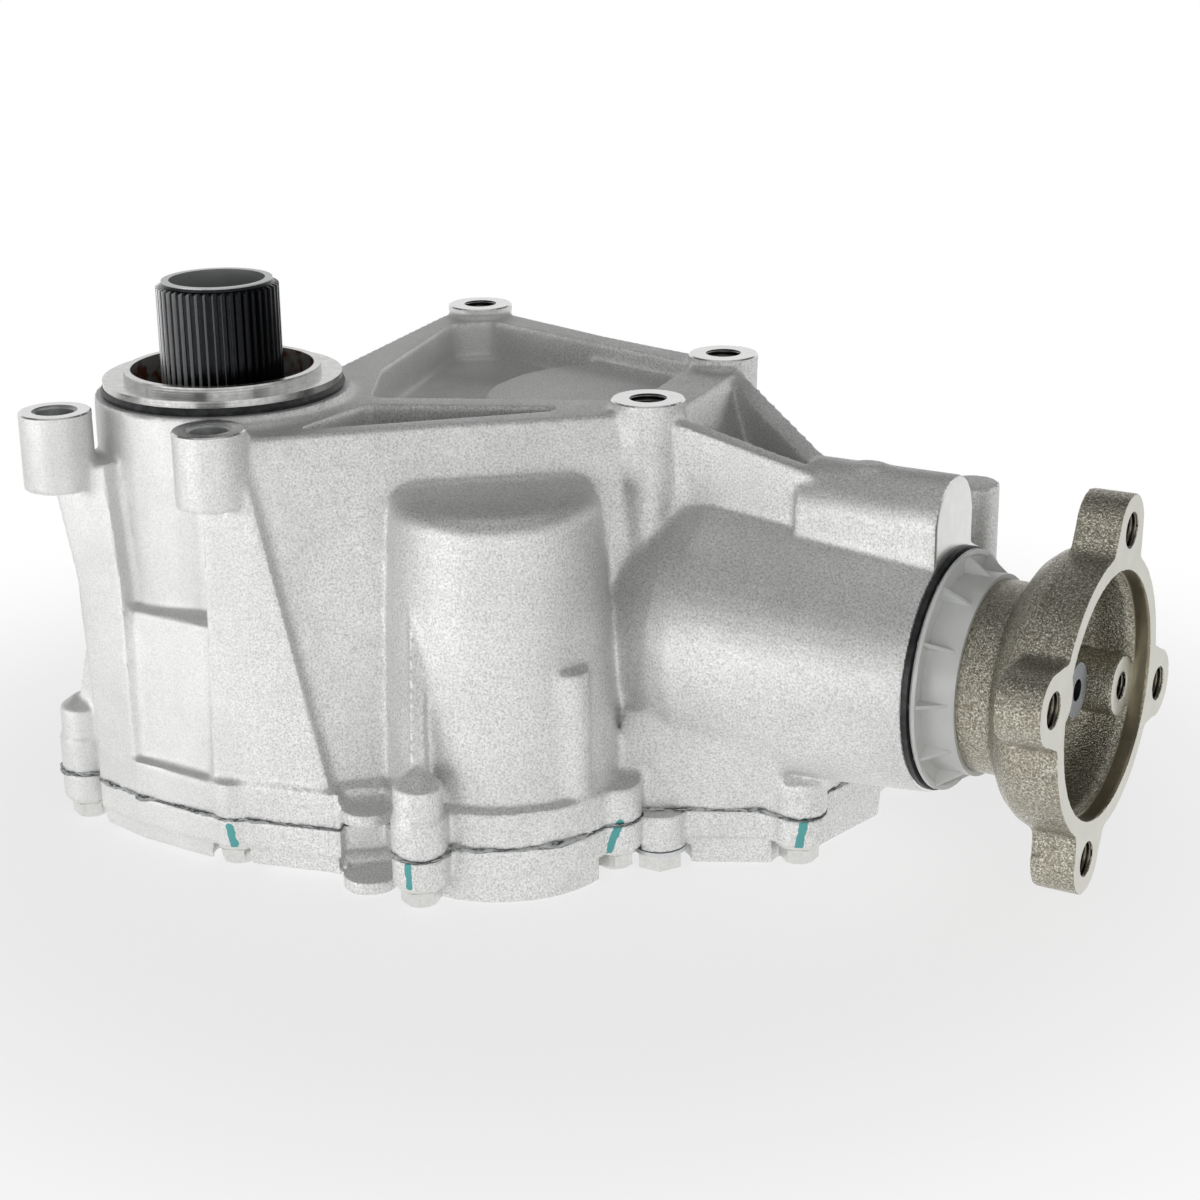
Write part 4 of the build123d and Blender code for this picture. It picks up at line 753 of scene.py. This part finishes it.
class TRANSFER_OT_sealant(Operator):
    """Sealant squeezed out of the joint, swept along it with Geometry Nodes"""
    bl_idname = "transfer.sealant"
    bl_label = "Sealant"

    def execute(self, context):
        settings = context.scene.sealant
        loop = joint_outline()
        mesh = bpy.data.meshes.new("sealant_squeeze")
        mesh.from_pydata([tuple(p) for p in loop], [(i, (i + 1) % len(loop)) for i in range(len(loop))], [])
        piece = shown("sealant_squeeze", mesh)
        tree = node_tree("squeezed_bead", (("Radius", "NodeSocketFloat"), ("Waviness", "NodeSocketFloat"),
                                           ("Seed", "NodeSocketInt"), ("Material", "NodeSocketMaterial")))
        given = add(tree, "NodeGroupInput", out=None)
        path = add(tree, "GeometryNodeMeshToCurve", {0: given["Geometry"]})
        even = add(tree, "GeometryNodeResampleCurve", {"Curve": path, "Length": 1.0 * MM}, mode="LENGTH")
        position = add(tree, "GeometryNodeInputPosition")
        wander = add(tree, "ShaderNodeTexNoise", {
            "Vector": position, "W": given["Seed"], "Scale": 1 / (5 * MM), "Detail": 3.0},
            out="Color", noise_dimensions="4D")
        centred = add(tree, "ShaderNodeVectorMath", {0: wander, 1: (0.5, 0.5, 0.5)}, operation="SUBTRACT")
        drift = add(tree, "ShaderNodeVectorMath", {
            0: centred, "Scale": given["Waviness"]}, operation="SCALE")
        moved = add(tree, "GeometryNodeSetPosition", {"Geometry": even, "Offset": drift})
        lumps = add(tree, "ShaderNodeTexNoise", {
            "Vector": position, "W": given["Seed"], "Scale": 1 / (14 * MM), "Detail": 3.0},
            noise_dimensions="4D")
        share = add(tree, "ShaderNodeMapRange", {0: lumps, 1: 0.42, 2: 0.66, 3: 0.12, 4: 2.2})
        thick = add(tree, "ShaderNodeMath", {0: share, 1: given["Radius"]}, operation="MULTIPLY")
        profile = add(tree, "GeometryNodeCurvePrimitiveCircle", {"Resolution": 8, "Radius": 1.0})
        swept = add(tree, "GeometryNodeCurveToMesh", {
            "Curve": moved, "Profile Curve": profile, "Scale": thick})
        real = add(tree, "GeometryNodeRealizeInstances", {0: swept})
        coated = add(tree, "GeometryNodeSetMaterial", {"Geometry": real, "Material": given["Material"]})
        add(tree, "NodeGroupOutput", {0: coated}, out=None)
        run_nodes(piece, tree, {"Radius": settings.size, "Waviness": settings.waviness,
                                "Seed": settings.seed, "Material": MATERIALS["squeezed"]})
        inside = np.clip(points_of(piece.data), CAD_BOX[0], CAD_BOX[1])
        piece.data.vertices.foreach_set("co", inside.astype(np.float32).ravel())
        piece.data.shade_smooth()
        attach(piece, "case")
        return {"FINISHED"}


class TRANSFER_OT_flange_casting(Operator):
    """Rough cast flange with its machined face and recess"""
    bl_idname = "transfer.flange_casting"
    bl_label = "Flange casting"

    def execute(self, context):
        settings = context.scene.flange
        piece = merged_copy("flange_casting", "output_flange")
        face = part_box("output_flange")[1].x / MM
        floor = face - PILOT_DEPTH
        remeshed(piece, settings.voxel, settings.fill_steps, settings.smooth_steps, settings.faces)

        def hole_place(ring, angle):
            turn = np.radians(angle)
            return OUTPUT_Y + ring * np.sin(turn), OUTPUT_Z + ring * np.cos(turn)

        def front(bm):
            cylinder(bm, (face, OUTPUT_Y, OUTPUT_Z), (1, 0, 0), 90, -FACING, 8)

        def recess(bm):
            cylinder(bm, (face, OUTPUT_Y, OUTPUT_Z), (1, 0, 0), PILOT_RADIUS, floor - face, 9, sides=128)

        def bolt_holes(bm):
            for ring, radius, depth, angle in FLANGE_BOLTS + FLANGE_PULLERS:
                middle, foot = (face, *hole_place(ring, angle)), -depth - (face - floor)
                cylinder(bm, middle, (1, 0, 0), radius, foot, 9, sides=48)

        cut(piece, "DIFFERENCE", front)
        cut(piece, "DIFFERENCE", recess)
        cut(piece, "DIFFERENCE", bolt_holes)

        def choose(centres, normals):
            kind = np.zeros(len(centres), int)
            away = np.hypot(centres[:, 1] - OUTPUT_Y, centres[:, 2] - OUTPUT_Z)
            flat = normals[:, 0] > 0.9
            kind[flat & (centres[:, 0] > face - 0.5)] = 1
            kind[flat & (np.abs(centres[:, 0] - floor) < 0.3)] = 1
            kind[(np.abs(away - PILOT_RADIUS) < 0.3) & (centres[:, 0] > floor - 0.2) & ~flat] = 2
            for ring, radius, depth, angle in FLANGE_BOLTS + FLANGE_PULLERS:
                where = hole_place(ring, angle)
                hole = np.hypot(centres[:, 1] - where[0], centres[:, 2] - where[1])
                kind[(hole < radius + 0.1) & (centres[:, 0] > face - depth - 6) & ~flat] = 3
            return kind

        used = [MATERIALS[name] for name in ("iron", "iron_face", "iron_recess", "flange_hole")]
        finish_mesh(piece, used, choose)
        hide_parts("output_flange")
        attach(piece, "output")
        return {"FINISHED"}


class TRANSFER_OT_cover_bolts(Operator):
    """Flanged bolts of the cover, one shape put at every place by Geometry Nodes"""
    bl_idname = "transfer.cover_bolts"
    bl_label = "Cover bolts"

    def execute(self, context):
        settings = context.scene.bolts
        spots, top = bolt_places()
        shape = bolt_shape(settings)
        mesh = bpy.data.meshes.new("cover_screws")
        mesh.from_pydata([(x, y, top) for x, y in spots], [], [])
        piece = shown("cover_screws", mesh)
        tree = node_tree("bolt_at_each_point", (("Shape", "NodeSocketObject"), ("Turn", "NodeSocketFloat"),
                                                ("Material", "NodeSocketMaterial")))
        given = add(tree, "NodeGroupInput", out=None)
        one = add(tree, "GeometryNodeObjectInfo", {0: given["Shape"]}, out="Geometry")
        index = add(tree, "GeometryNodeInputIndex")
        turn = add(tree, "ShaderNodeMath", {0: index, 1: given["Turn"]}, operation="MULTIPLY")
        turned = add(tree, "ShaderNodeCombineXYZ", {2: turn})
        rotation = add(tree, "FunctionNodeEulerToRotation", {0: turned})
        points = add(tree, "GeometryNodeMeshToPoints", {0: given["Geometry"]})
        many = add(tree, "GeometryNodeInstanceOnPoints", {0: points, "Instance": one, "Rotation": rotation})
        real = add(tree, "GeometryNodeRealizeInstances", {0: many})
        coated = add(tree, "GeometryNodeSetMaterial", {"Geometry": real, "Material": given["Material"]})
        add(tree, "NodeGroupOutput", {0: coated}, out=None)
        run_nodes(piece, tree, {"Shape": shape, "Turn": 0.7, "Material": MATERIALS["zinc"]})
        bpy.data.objects.remove(shape)
        piece.data.set_sharp_from_angle(angle=np.radians(BOLT_EDGE))
        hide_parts("cover_bolts")
        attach(piece, "case")
        return {"FINISHED"}


def bolt_places():
    """Middle of each bolt of the CAD node, and the height of the face that the bolts clamp."""
    work = bmesh.new()
    work.from_mesh(NODES["cover_bolts"].data)
    bmesh.ops.remove_doubles(work, verts=work.verts, dist=1e-6)
    left = set(work.verts)
    spots = []
    while left:
        island = set()
        front = [left.pop()]
        while front:
            vert = front.pop()
            island.add(vert)
            for edge in vert.link_edges:
                other = edge.other_vert(vert)
                if other in left:
                    left.discard(other)
                    front.append(other)
        xs = [v.co.x for v in island]
        ys = [v.co.y for v in island]
        spots.append(((min(xs) + max(xs)) / 2, (min(ys) + max(ys)) / 2))
        lowest = min(v.co.z for v in island)
    work.free()
    return sorted(spots), lowest + BOLT_SEAT * MM


def bolt_shape(settings):
    """One flanged bolt about the origin, its collar's upper face at z = 0 and its head below."""
    sides = 48
    flat, head, collar = settings.across_flats / 2 / MM, settings.head / MM, settings.collar / MM
    profile = []
    for height, kind, size in (
            (14.0, "round", 4.0), (0.0, "round", 4.0), (0.0, "round", collar - 0.3),
            (-0.3, "round", collar), (-1.2, "round", collar), (-2.1, "hex", 1.12),
            (-2.3, "hex", 1.0), (-0.7 - head, "hex", 1.0), (-1.6 - head, "hex_round", 0.94),
            (-1.6 - head, "round", 3.4), (-0.9 - head, "round", 2.6)):
        ring = []
        for i in range(sides):
            angle = 2 * np.pi * i / sides
            corner = flat / np.cos((angle % (np.pi / 3)) - np.pi / 6)
            radius = size if kind == "round" else corner * size
            if kind == "hex_round":
                radius = min(corner, flat * 1.02) * size
            ring.append((radius * np.cos(angle) * MM, radius * np.sin(angle) * MM, height * MM))
        profile.append(ring)
    points = [p for ring in profile for p in ring]
    faces = []
    for row in range(len(profile) - 1):
        for i in range(sides):
            a, b = row * sides + i, row * sides + (i + 1) % sides
            faces.append((a, a + sides, b + sides, b))
    faces.append(tuple(range(sides)))
    last = (len(profile) - 1) * sides
    faces.append(tuple(reversed(range(last, last + sides))))
    mesh = bpy.data.meshes.new("bolt_shape")
    mesh.from_pydata(points, [], faces)
    work = bmesh.new()
    work.from_mesh(mesh)
    bmesh.ops.recalc_face_normals(work, faces=work.faces)
    work.to_mesh(mesh)
    work.free()
    mesh.shade_smooth()
    return shown("bolt_shape", mesh)


# The pieces that keep their CAD shape, by finish; the split sleeves are as pale and dull as the soft washers
FINISHES = {
    # the sealant in the joint takes a dark copy of the sealant, painted shade in the seam
    "crack": ["sealant_bead"],
    "zinc": ["drain_plug", "fill_plug", "pinion_washer"],
    "nut": ["pinion_nut"],
    "bearing": ["dowel_pins", "input_upper_cup", "input_lower_cup", "ring_upper_cup",
                "ring_lower_cup", "pinion_cups", "input_upper_cone", "input_lower_cone", "ring_upper_cone",
                "ring_lower_cone", "pinion_cones", "idler_axle", "idler_washers", "crush_sleeve"],
    "washer": ["drain_plug_washer", "fill_plug_washer", "boss_sleeves"],
    "sleeve": ["input_sleeve"],
    "rubber": ["pilot_ring", "neck_ring", "halfshaft_seal", "output_seal"],
    "brown_rubber": ["input_oil_seal"],
    "spline": ["input_shaft"],
    "gear": ["input_gear", "idler_gear", "ring_shaft", "driven_gear", "ring_gear", "pinion_shaft"],
    "bronze": ["idler_bush"],
    "plastic": ["dust_shield"],
}


class TRANSFER_OT_turned_parts(Operator):
    """Finishes of the pieces that keep their CAD shape"""
    bl_idname = "transfer.turned_parts"
    bl_label = "Turned and moulded parts"

    def execute(self, context):
        for finish, names in FINISHES.items():
            for name in names:
                mesh = NODES[name].data
                mesh.materials.clear()
                mesh.materials.append(MATERIALS[finish])
        return {"FINISHED"}


class TRANSFER_OT_studio(Operator):
    """Pale floor, soft lamps and the camera"""
    bl_idname = "transfer.studio"
    bl_label = "Studio"

    def execute(self, context):
        settings = context.scene.studio
        scene = context.scene
        scene.view_settings.view_transform = "Standard"
        self.floor(settings)
        self.sky(scene, settings)
        self.lamps(settings)
        self.camera(scene)
        return {"FINISHED"}

    def floor(self, settings):
        bm = bmesh.new()
        bmesh.ops.create_grid(bm, x_segments=1, y_segments=1, size=6)
        mesh = bpy.data.meshes.new("floor")
        bm.to_mesh(mesh)
        bm.free()
        piece = shown("floor", mesh)
        piece.location = (0.1, 0.05, CAD_BOX[0][2])
        made, tree, shader = material("floor_paper")
        seen = add(tree, "ShaderNodeLightPath", out=None)
        mirrored = add(tree, "ShaderNodeMath", {
            0: seen["Is Glossy Ray"], 1: seen["Is Transmission Ray"]}, operation="MAXIMUM")
        where = add(tree, "ShaderNodeTexCoord", out="Object")
        # the lit paper falls off to the right, and so do the metal's reflections of it
        along = add(tree, "ShaderNodeSeparateXYZ", {0: where}, out="X")
        lit = add(tree, "ShaderNodeMapRange", {
            0: along, 1: 0.15, 2: 0.55, 3: 1.0, 4: 0.85}, interpolation_type="SMOOTHSTEP")
        mirrored = add(tree, "ShaderNodeMath", {0: mirrored, 1: lit}, operation="MULTIPLY")
        # the paper runs out to plain white round the object's shadow
        away = add(tree, "ShaderNodeVectorMath", {0: where}, out="Value", operation="LENGTH")
        faded = add(tree, "ShaderNodeMapRange", {
            0: away, 1: 0.16, 2: 0.42, 3: 0.72, 4: 1.0}, interpolation_type="SMOOTHSTEP")
        backdrop = add(tree, "ShaderNodeMath", {0: seen["Is Camera Ray"], 1: faded}, operation="MULTIPLY")
        share = add(tree, "ShaderNodeMath", {0: mirrored, 1: backdrop}, operation="MAXIMUM")
        white = add(tree, "ShaderNodeEmission", {"Color": (1, 1, 1, 1), "Strength": 1.0})
        fill(tree, shader, {"Base Color": (*settings.floor, 1), "Roughness": 1.0, "Specular IOR Level": 0.0})
        mix = add(tree, "ShaderNodeMixShader", {0: share, 1: shader.outputs[0], 2: white})
        tree.links.new(mix, tree.nodes["Material Output"].inputs["Surface"])
        mesh.materials.append(made)

    def sky(self, scene, settings):
        """Soft light all round; in the metal, a white backdrop under a dimmer ceiling and front."""
        world = bpy.data.worlds.new("studio_sky")
        scene.world = world
        world.use_nodes = True
        tree = world.node_tree
        seen = add(tree, "ShaderNodeLightPath", out=None)
        way = add(tree, "ShaderNodeTexCoord", out="Generated")
        way = add(tree, "ShaderNodeSeparateXYZ", {0: way}, out=None)
        # the metal mirrors a dim room in front, but for its far left, and a dim ceiling from 25 degrees up
        edges = (("Z", 0.02, 0.20), ("Y", 0.15, -0.30), ("X", -0.80, -0.50), ("Z", 0.36, 0.52))
        above, front, right, high = [
            add(tree, "ShaderNodeMapRange", {0: way[axis], 1: low, 2: top}, interpolation_type="SMOOTHSTEP")
            for axis, low, top in edges]
        ahead = add(tree, "ShaderNodeMath", {0: above, 1: front}, operation="MULTIPLY")
        ahead = add(tree, "ShaderNodeMath", {0: ahead, 1: right}, operation="MULTIPLY")
        dim = add(tree, "ShaderNodeMath", {0: ahead, 1: high}, operation="MAXIMUM")
        # a paler patch straight overhead keeps level faces from turning black in views from above
        overhead = add(tree, "ShaderNodeMapRange", {0: way["Z"], 1: 0.80, 2: 0.93, 3: 1.0, 4: 0.45})
        dim = add(tree, "ShaderNodeMath", {0: dim, 1: overhead}, operation="MULTIPLY")
        level = add(tree, "ShaderNodeMapRange", {0: dim, 3: 1.0, 4: settings.ceiling})
        plain = add(tree, "ShaderNodeMath", {
            0: seen["Is Camera Ray"], 1: seen["Is Transmission Ray"]}, operation="MAXIMUM")
        # the soft light weakens from the horizon up, so that level faces aren't washed out
        zenith = 0.3 * settings.sky
        soft = add(tree, "ShaderNodeMapRange", {0: way["Z"], 1: 0.0, 2: 0.7, 3: settings.sky, 4: zenith})
        soft = add(tree, "ShaderNodeBackground", {"Color": (1, 1, 1, 1), "Strength": soft})
        mirrored = add(tree, "ShaderNodeBackground", {"Color": (1, 1, 1, 1), "Strength": level})
        white = add(tree, "ShaderNodeBackground", {"Color": (1, 1, 1, 1), "Strength": 1.0})
        mix = add(tree, "ShaderNodeMixShader", {0: seen["Is Glossy Ray"], 1: soft, 2: mirrored})
        mix = add(tree, "ShaderNodeMixShader", {0: plain, 1: mix, 2: white})
        tree.links.new(mix, tree.nodes["World Output"].inputs["Surface"])

    def lamps(self, settings):
        for name, power, size, where, aim in (
                ("key_lamp", settings.key, (1.1, 0.30), (-0.38, -1.15, 0.0), (0.08, 0.0, -0.07)),
                ("fill_lamp", settings.fill, (1.1, 0.6), (0.9, -0.8, 0.15), (0.15, 0.03, -0.07))):
            data = bpy.data.lights.new(name, "AREA")
            data.energy = power
            data.shape = "RECTANGLE"
            data.size, data.size_y = size
            lamp = bpy.data.objects.new(name, data)
            bpy.context.scene.collection.objects.link(lamp)
            lamp.location = where
            lamp.rotation_euler = (Vector(where) - Vector(aim)).to_track_quat("Z", "Y").to_euler()

    def camera(self, scene):
        """The camera stands where the photograph was taken from, as solved from its round parts."""
        data = bpy.data.cameras.new("camera")
        data.lens = 70.302
        data.sensor_width = 36.0
        data.clip_start = 0.01
        data.clip_end = 20.0
        camera = bpy.data.objects.new("camera", data)
        scene.collection.objects.link(camera)
        yaw, pitch, roll = (np.radians(a) for a in (30.89, -18.87, -0.73))
        ahead = Vector((-np.sin(yaw) * np.cos(pitch), np.cos(yaw) * np.cos(pitch), np.sin(pitch)))
        level = Vector((np.cos(yaw), np.sin(yaw), 0))
        upright = level.cross(ahead)
        right = level * np.cos(roll) + upright * np.sin(roll)
        top = upright * np.cos(roll) - level * np.sin(roll)
        turn = Matrix((right, top, -ahead)).transposed()
        camera.matrix_world = Matrix.Translation(Vector((528.865, -626.715, 195.27)) * MM) @ turn.to_4x4()
        scene.camera = camera


class TRANSFER_PT_panel(Panel):
    """The pieces and their settings"""
    bl_idname = "TRANSFER_PT_panel"
    bl_label = "Transfer case"
    bl_space_type = "VIEW_3D"
    bl_region_type = "UI"
    bl_category = "Transfer case"

    def draw(self, context):
        for group, operators in PANEL_ROWS:
            box = self.layout.box()
            settings = getattr(context.scene, group)
            for name in settings.bl_rna.properties.keys():
                if name not in ("rna_type", "name"):
                    box.prop(settings, name)
            for operator in operators:
                box.operator(operator)


PANEL_ROWS = (
    ("casting", ("transfer.case_casting", "transfer.cover_casting", "transfer.turned_parts")),
    ("flange", ("transfer.flange_casting",)),
    ("sealant", ("transfer.sealant",)),
    ("bolts", ("transfer.cover_bolts",)),
    ("studio", ("transfer.studio",)),
)
GROUPS = {
    "casting": CastingSettings, "flange": FlangeSettings, "sealant": SealantSettings, "bolts": BoltSettings,
    "studio": StageSettings,
}
OPERATORS = (
    TRANSFER_OT_turned_parts, TRANSFER_OT_case_casting, TRANSFER_OT_cover_casting,
    TRANSFER_OT_flange_casting, TRANSFER_OT_sealant, TRANSFER_OT_cover_bolts, TRANSFER_OT_studio,
)
MATERIALS = {}


def make_materials(scene):
    MATERIALS.update(
        cast=die_cast_aluminium(scene.casting),
        milled=milled_aluminium(),
        # the dark root colour is painted shade in the boss holes
        boss_hole=tapped_hole("tapped_aluminium", "#a9a9a7", "#2c2b2a", "Z", 1.75 * MM),
        # the same sealant as the squeezed bead, given a dark copy as painted shade in the seam
        crack=sealant("sealant_in_the_joint", "#232526", "#5c6062", "#a4a8a8", 2.2),
        # its darkest colour is painted shade in the low folds
        squeezed=sealant("squeezed_sealant", "#3b3f40", "#b4b7b6", "#d6d8d7", 3.0),
        zinc=steel("zinc_plated_steel", "#c3c4c0", "#e8e9e6", 0.30),
        nut=steel("phosphated_steel", "#6f7173", "#a5a7a9", 0.32),
        bearing=steel("bearing_steel", "#8d9092", "#b9bbbd", 0.22),
        washer=steel("soft_aluminium", "#c2c4c5", "#dddedf", 0.45),
        sleeve=turned_sleeve("#a3a3a1", "#dcdddb", "#7a4634", "#a7a8a6"),
        rubber=rubber("nitrile_rubber", "#141516", "#3c3e40"),
        brown_rubber=rubber("oil_stained_rubber", "#2b1d17", "#7a4a34"),
        # the near white is the painted highlight on one side of each tooth
        spline=spline_with_painted_highlight("#101113", "#2c2d30", "#f0f1f2", "#b4b5b6"),
        gear=steel("case_hardened_steel", "#5c5f63", "#8e9194", 0.26),
        bronze=steel("sintered_bronze", "#8a6b3e", "#b08c56", 0.42),
        iron=coated_iron(scene.flange),
        iron_face=turned_iron("faced_iron", "#cfcec4", "#e4e3da", 0.40),
        iron_recess=turned_iron("bored_iron", "#7b7462", "#a59d87", 0.32),
        # the dark root colour is painted shade in the flange's holes
        flange_hole=tapped_hole("drilled_iron", "#8d8778", "#2b2821", "X", 1.5 * MM),
        plastic=milky_polypropylene(),
    )


def register():
    for name, group in GROUPS.items():
        bpy.utils.register_class(group)
        setattr(bpy.types.Scene, name, PointerProperty(type=group))
    for made in (*OPERATORS, TRANSFER_PT_panel):
        bpy.utils.register_class(made)


def unregister():
    for made in (TRANSFER_PT_panel, *reversed(OPERATORS)):
        bpy.utils.unregister_class(made)
    for name, group in GROUPS.items():
        delattr(bpy.types.Scene, name)
        bpy.utils.unregister_class(group)


def main():
    register()
    make_materials(bpy.context.scene)
    bpy.ops.transfer.turned_parts()
    bpy.ops.transfer.case_casting()
    bpy.ops.transfer.cover_casting()
    bpy.ops.transfer.flange_casting()
    bpy.ops.transfer.sealant()
    bpy.ops.transfer.cover_bolts()
    bpy.ops.transfer.studio()


if __name__ == "__main__":
    main()
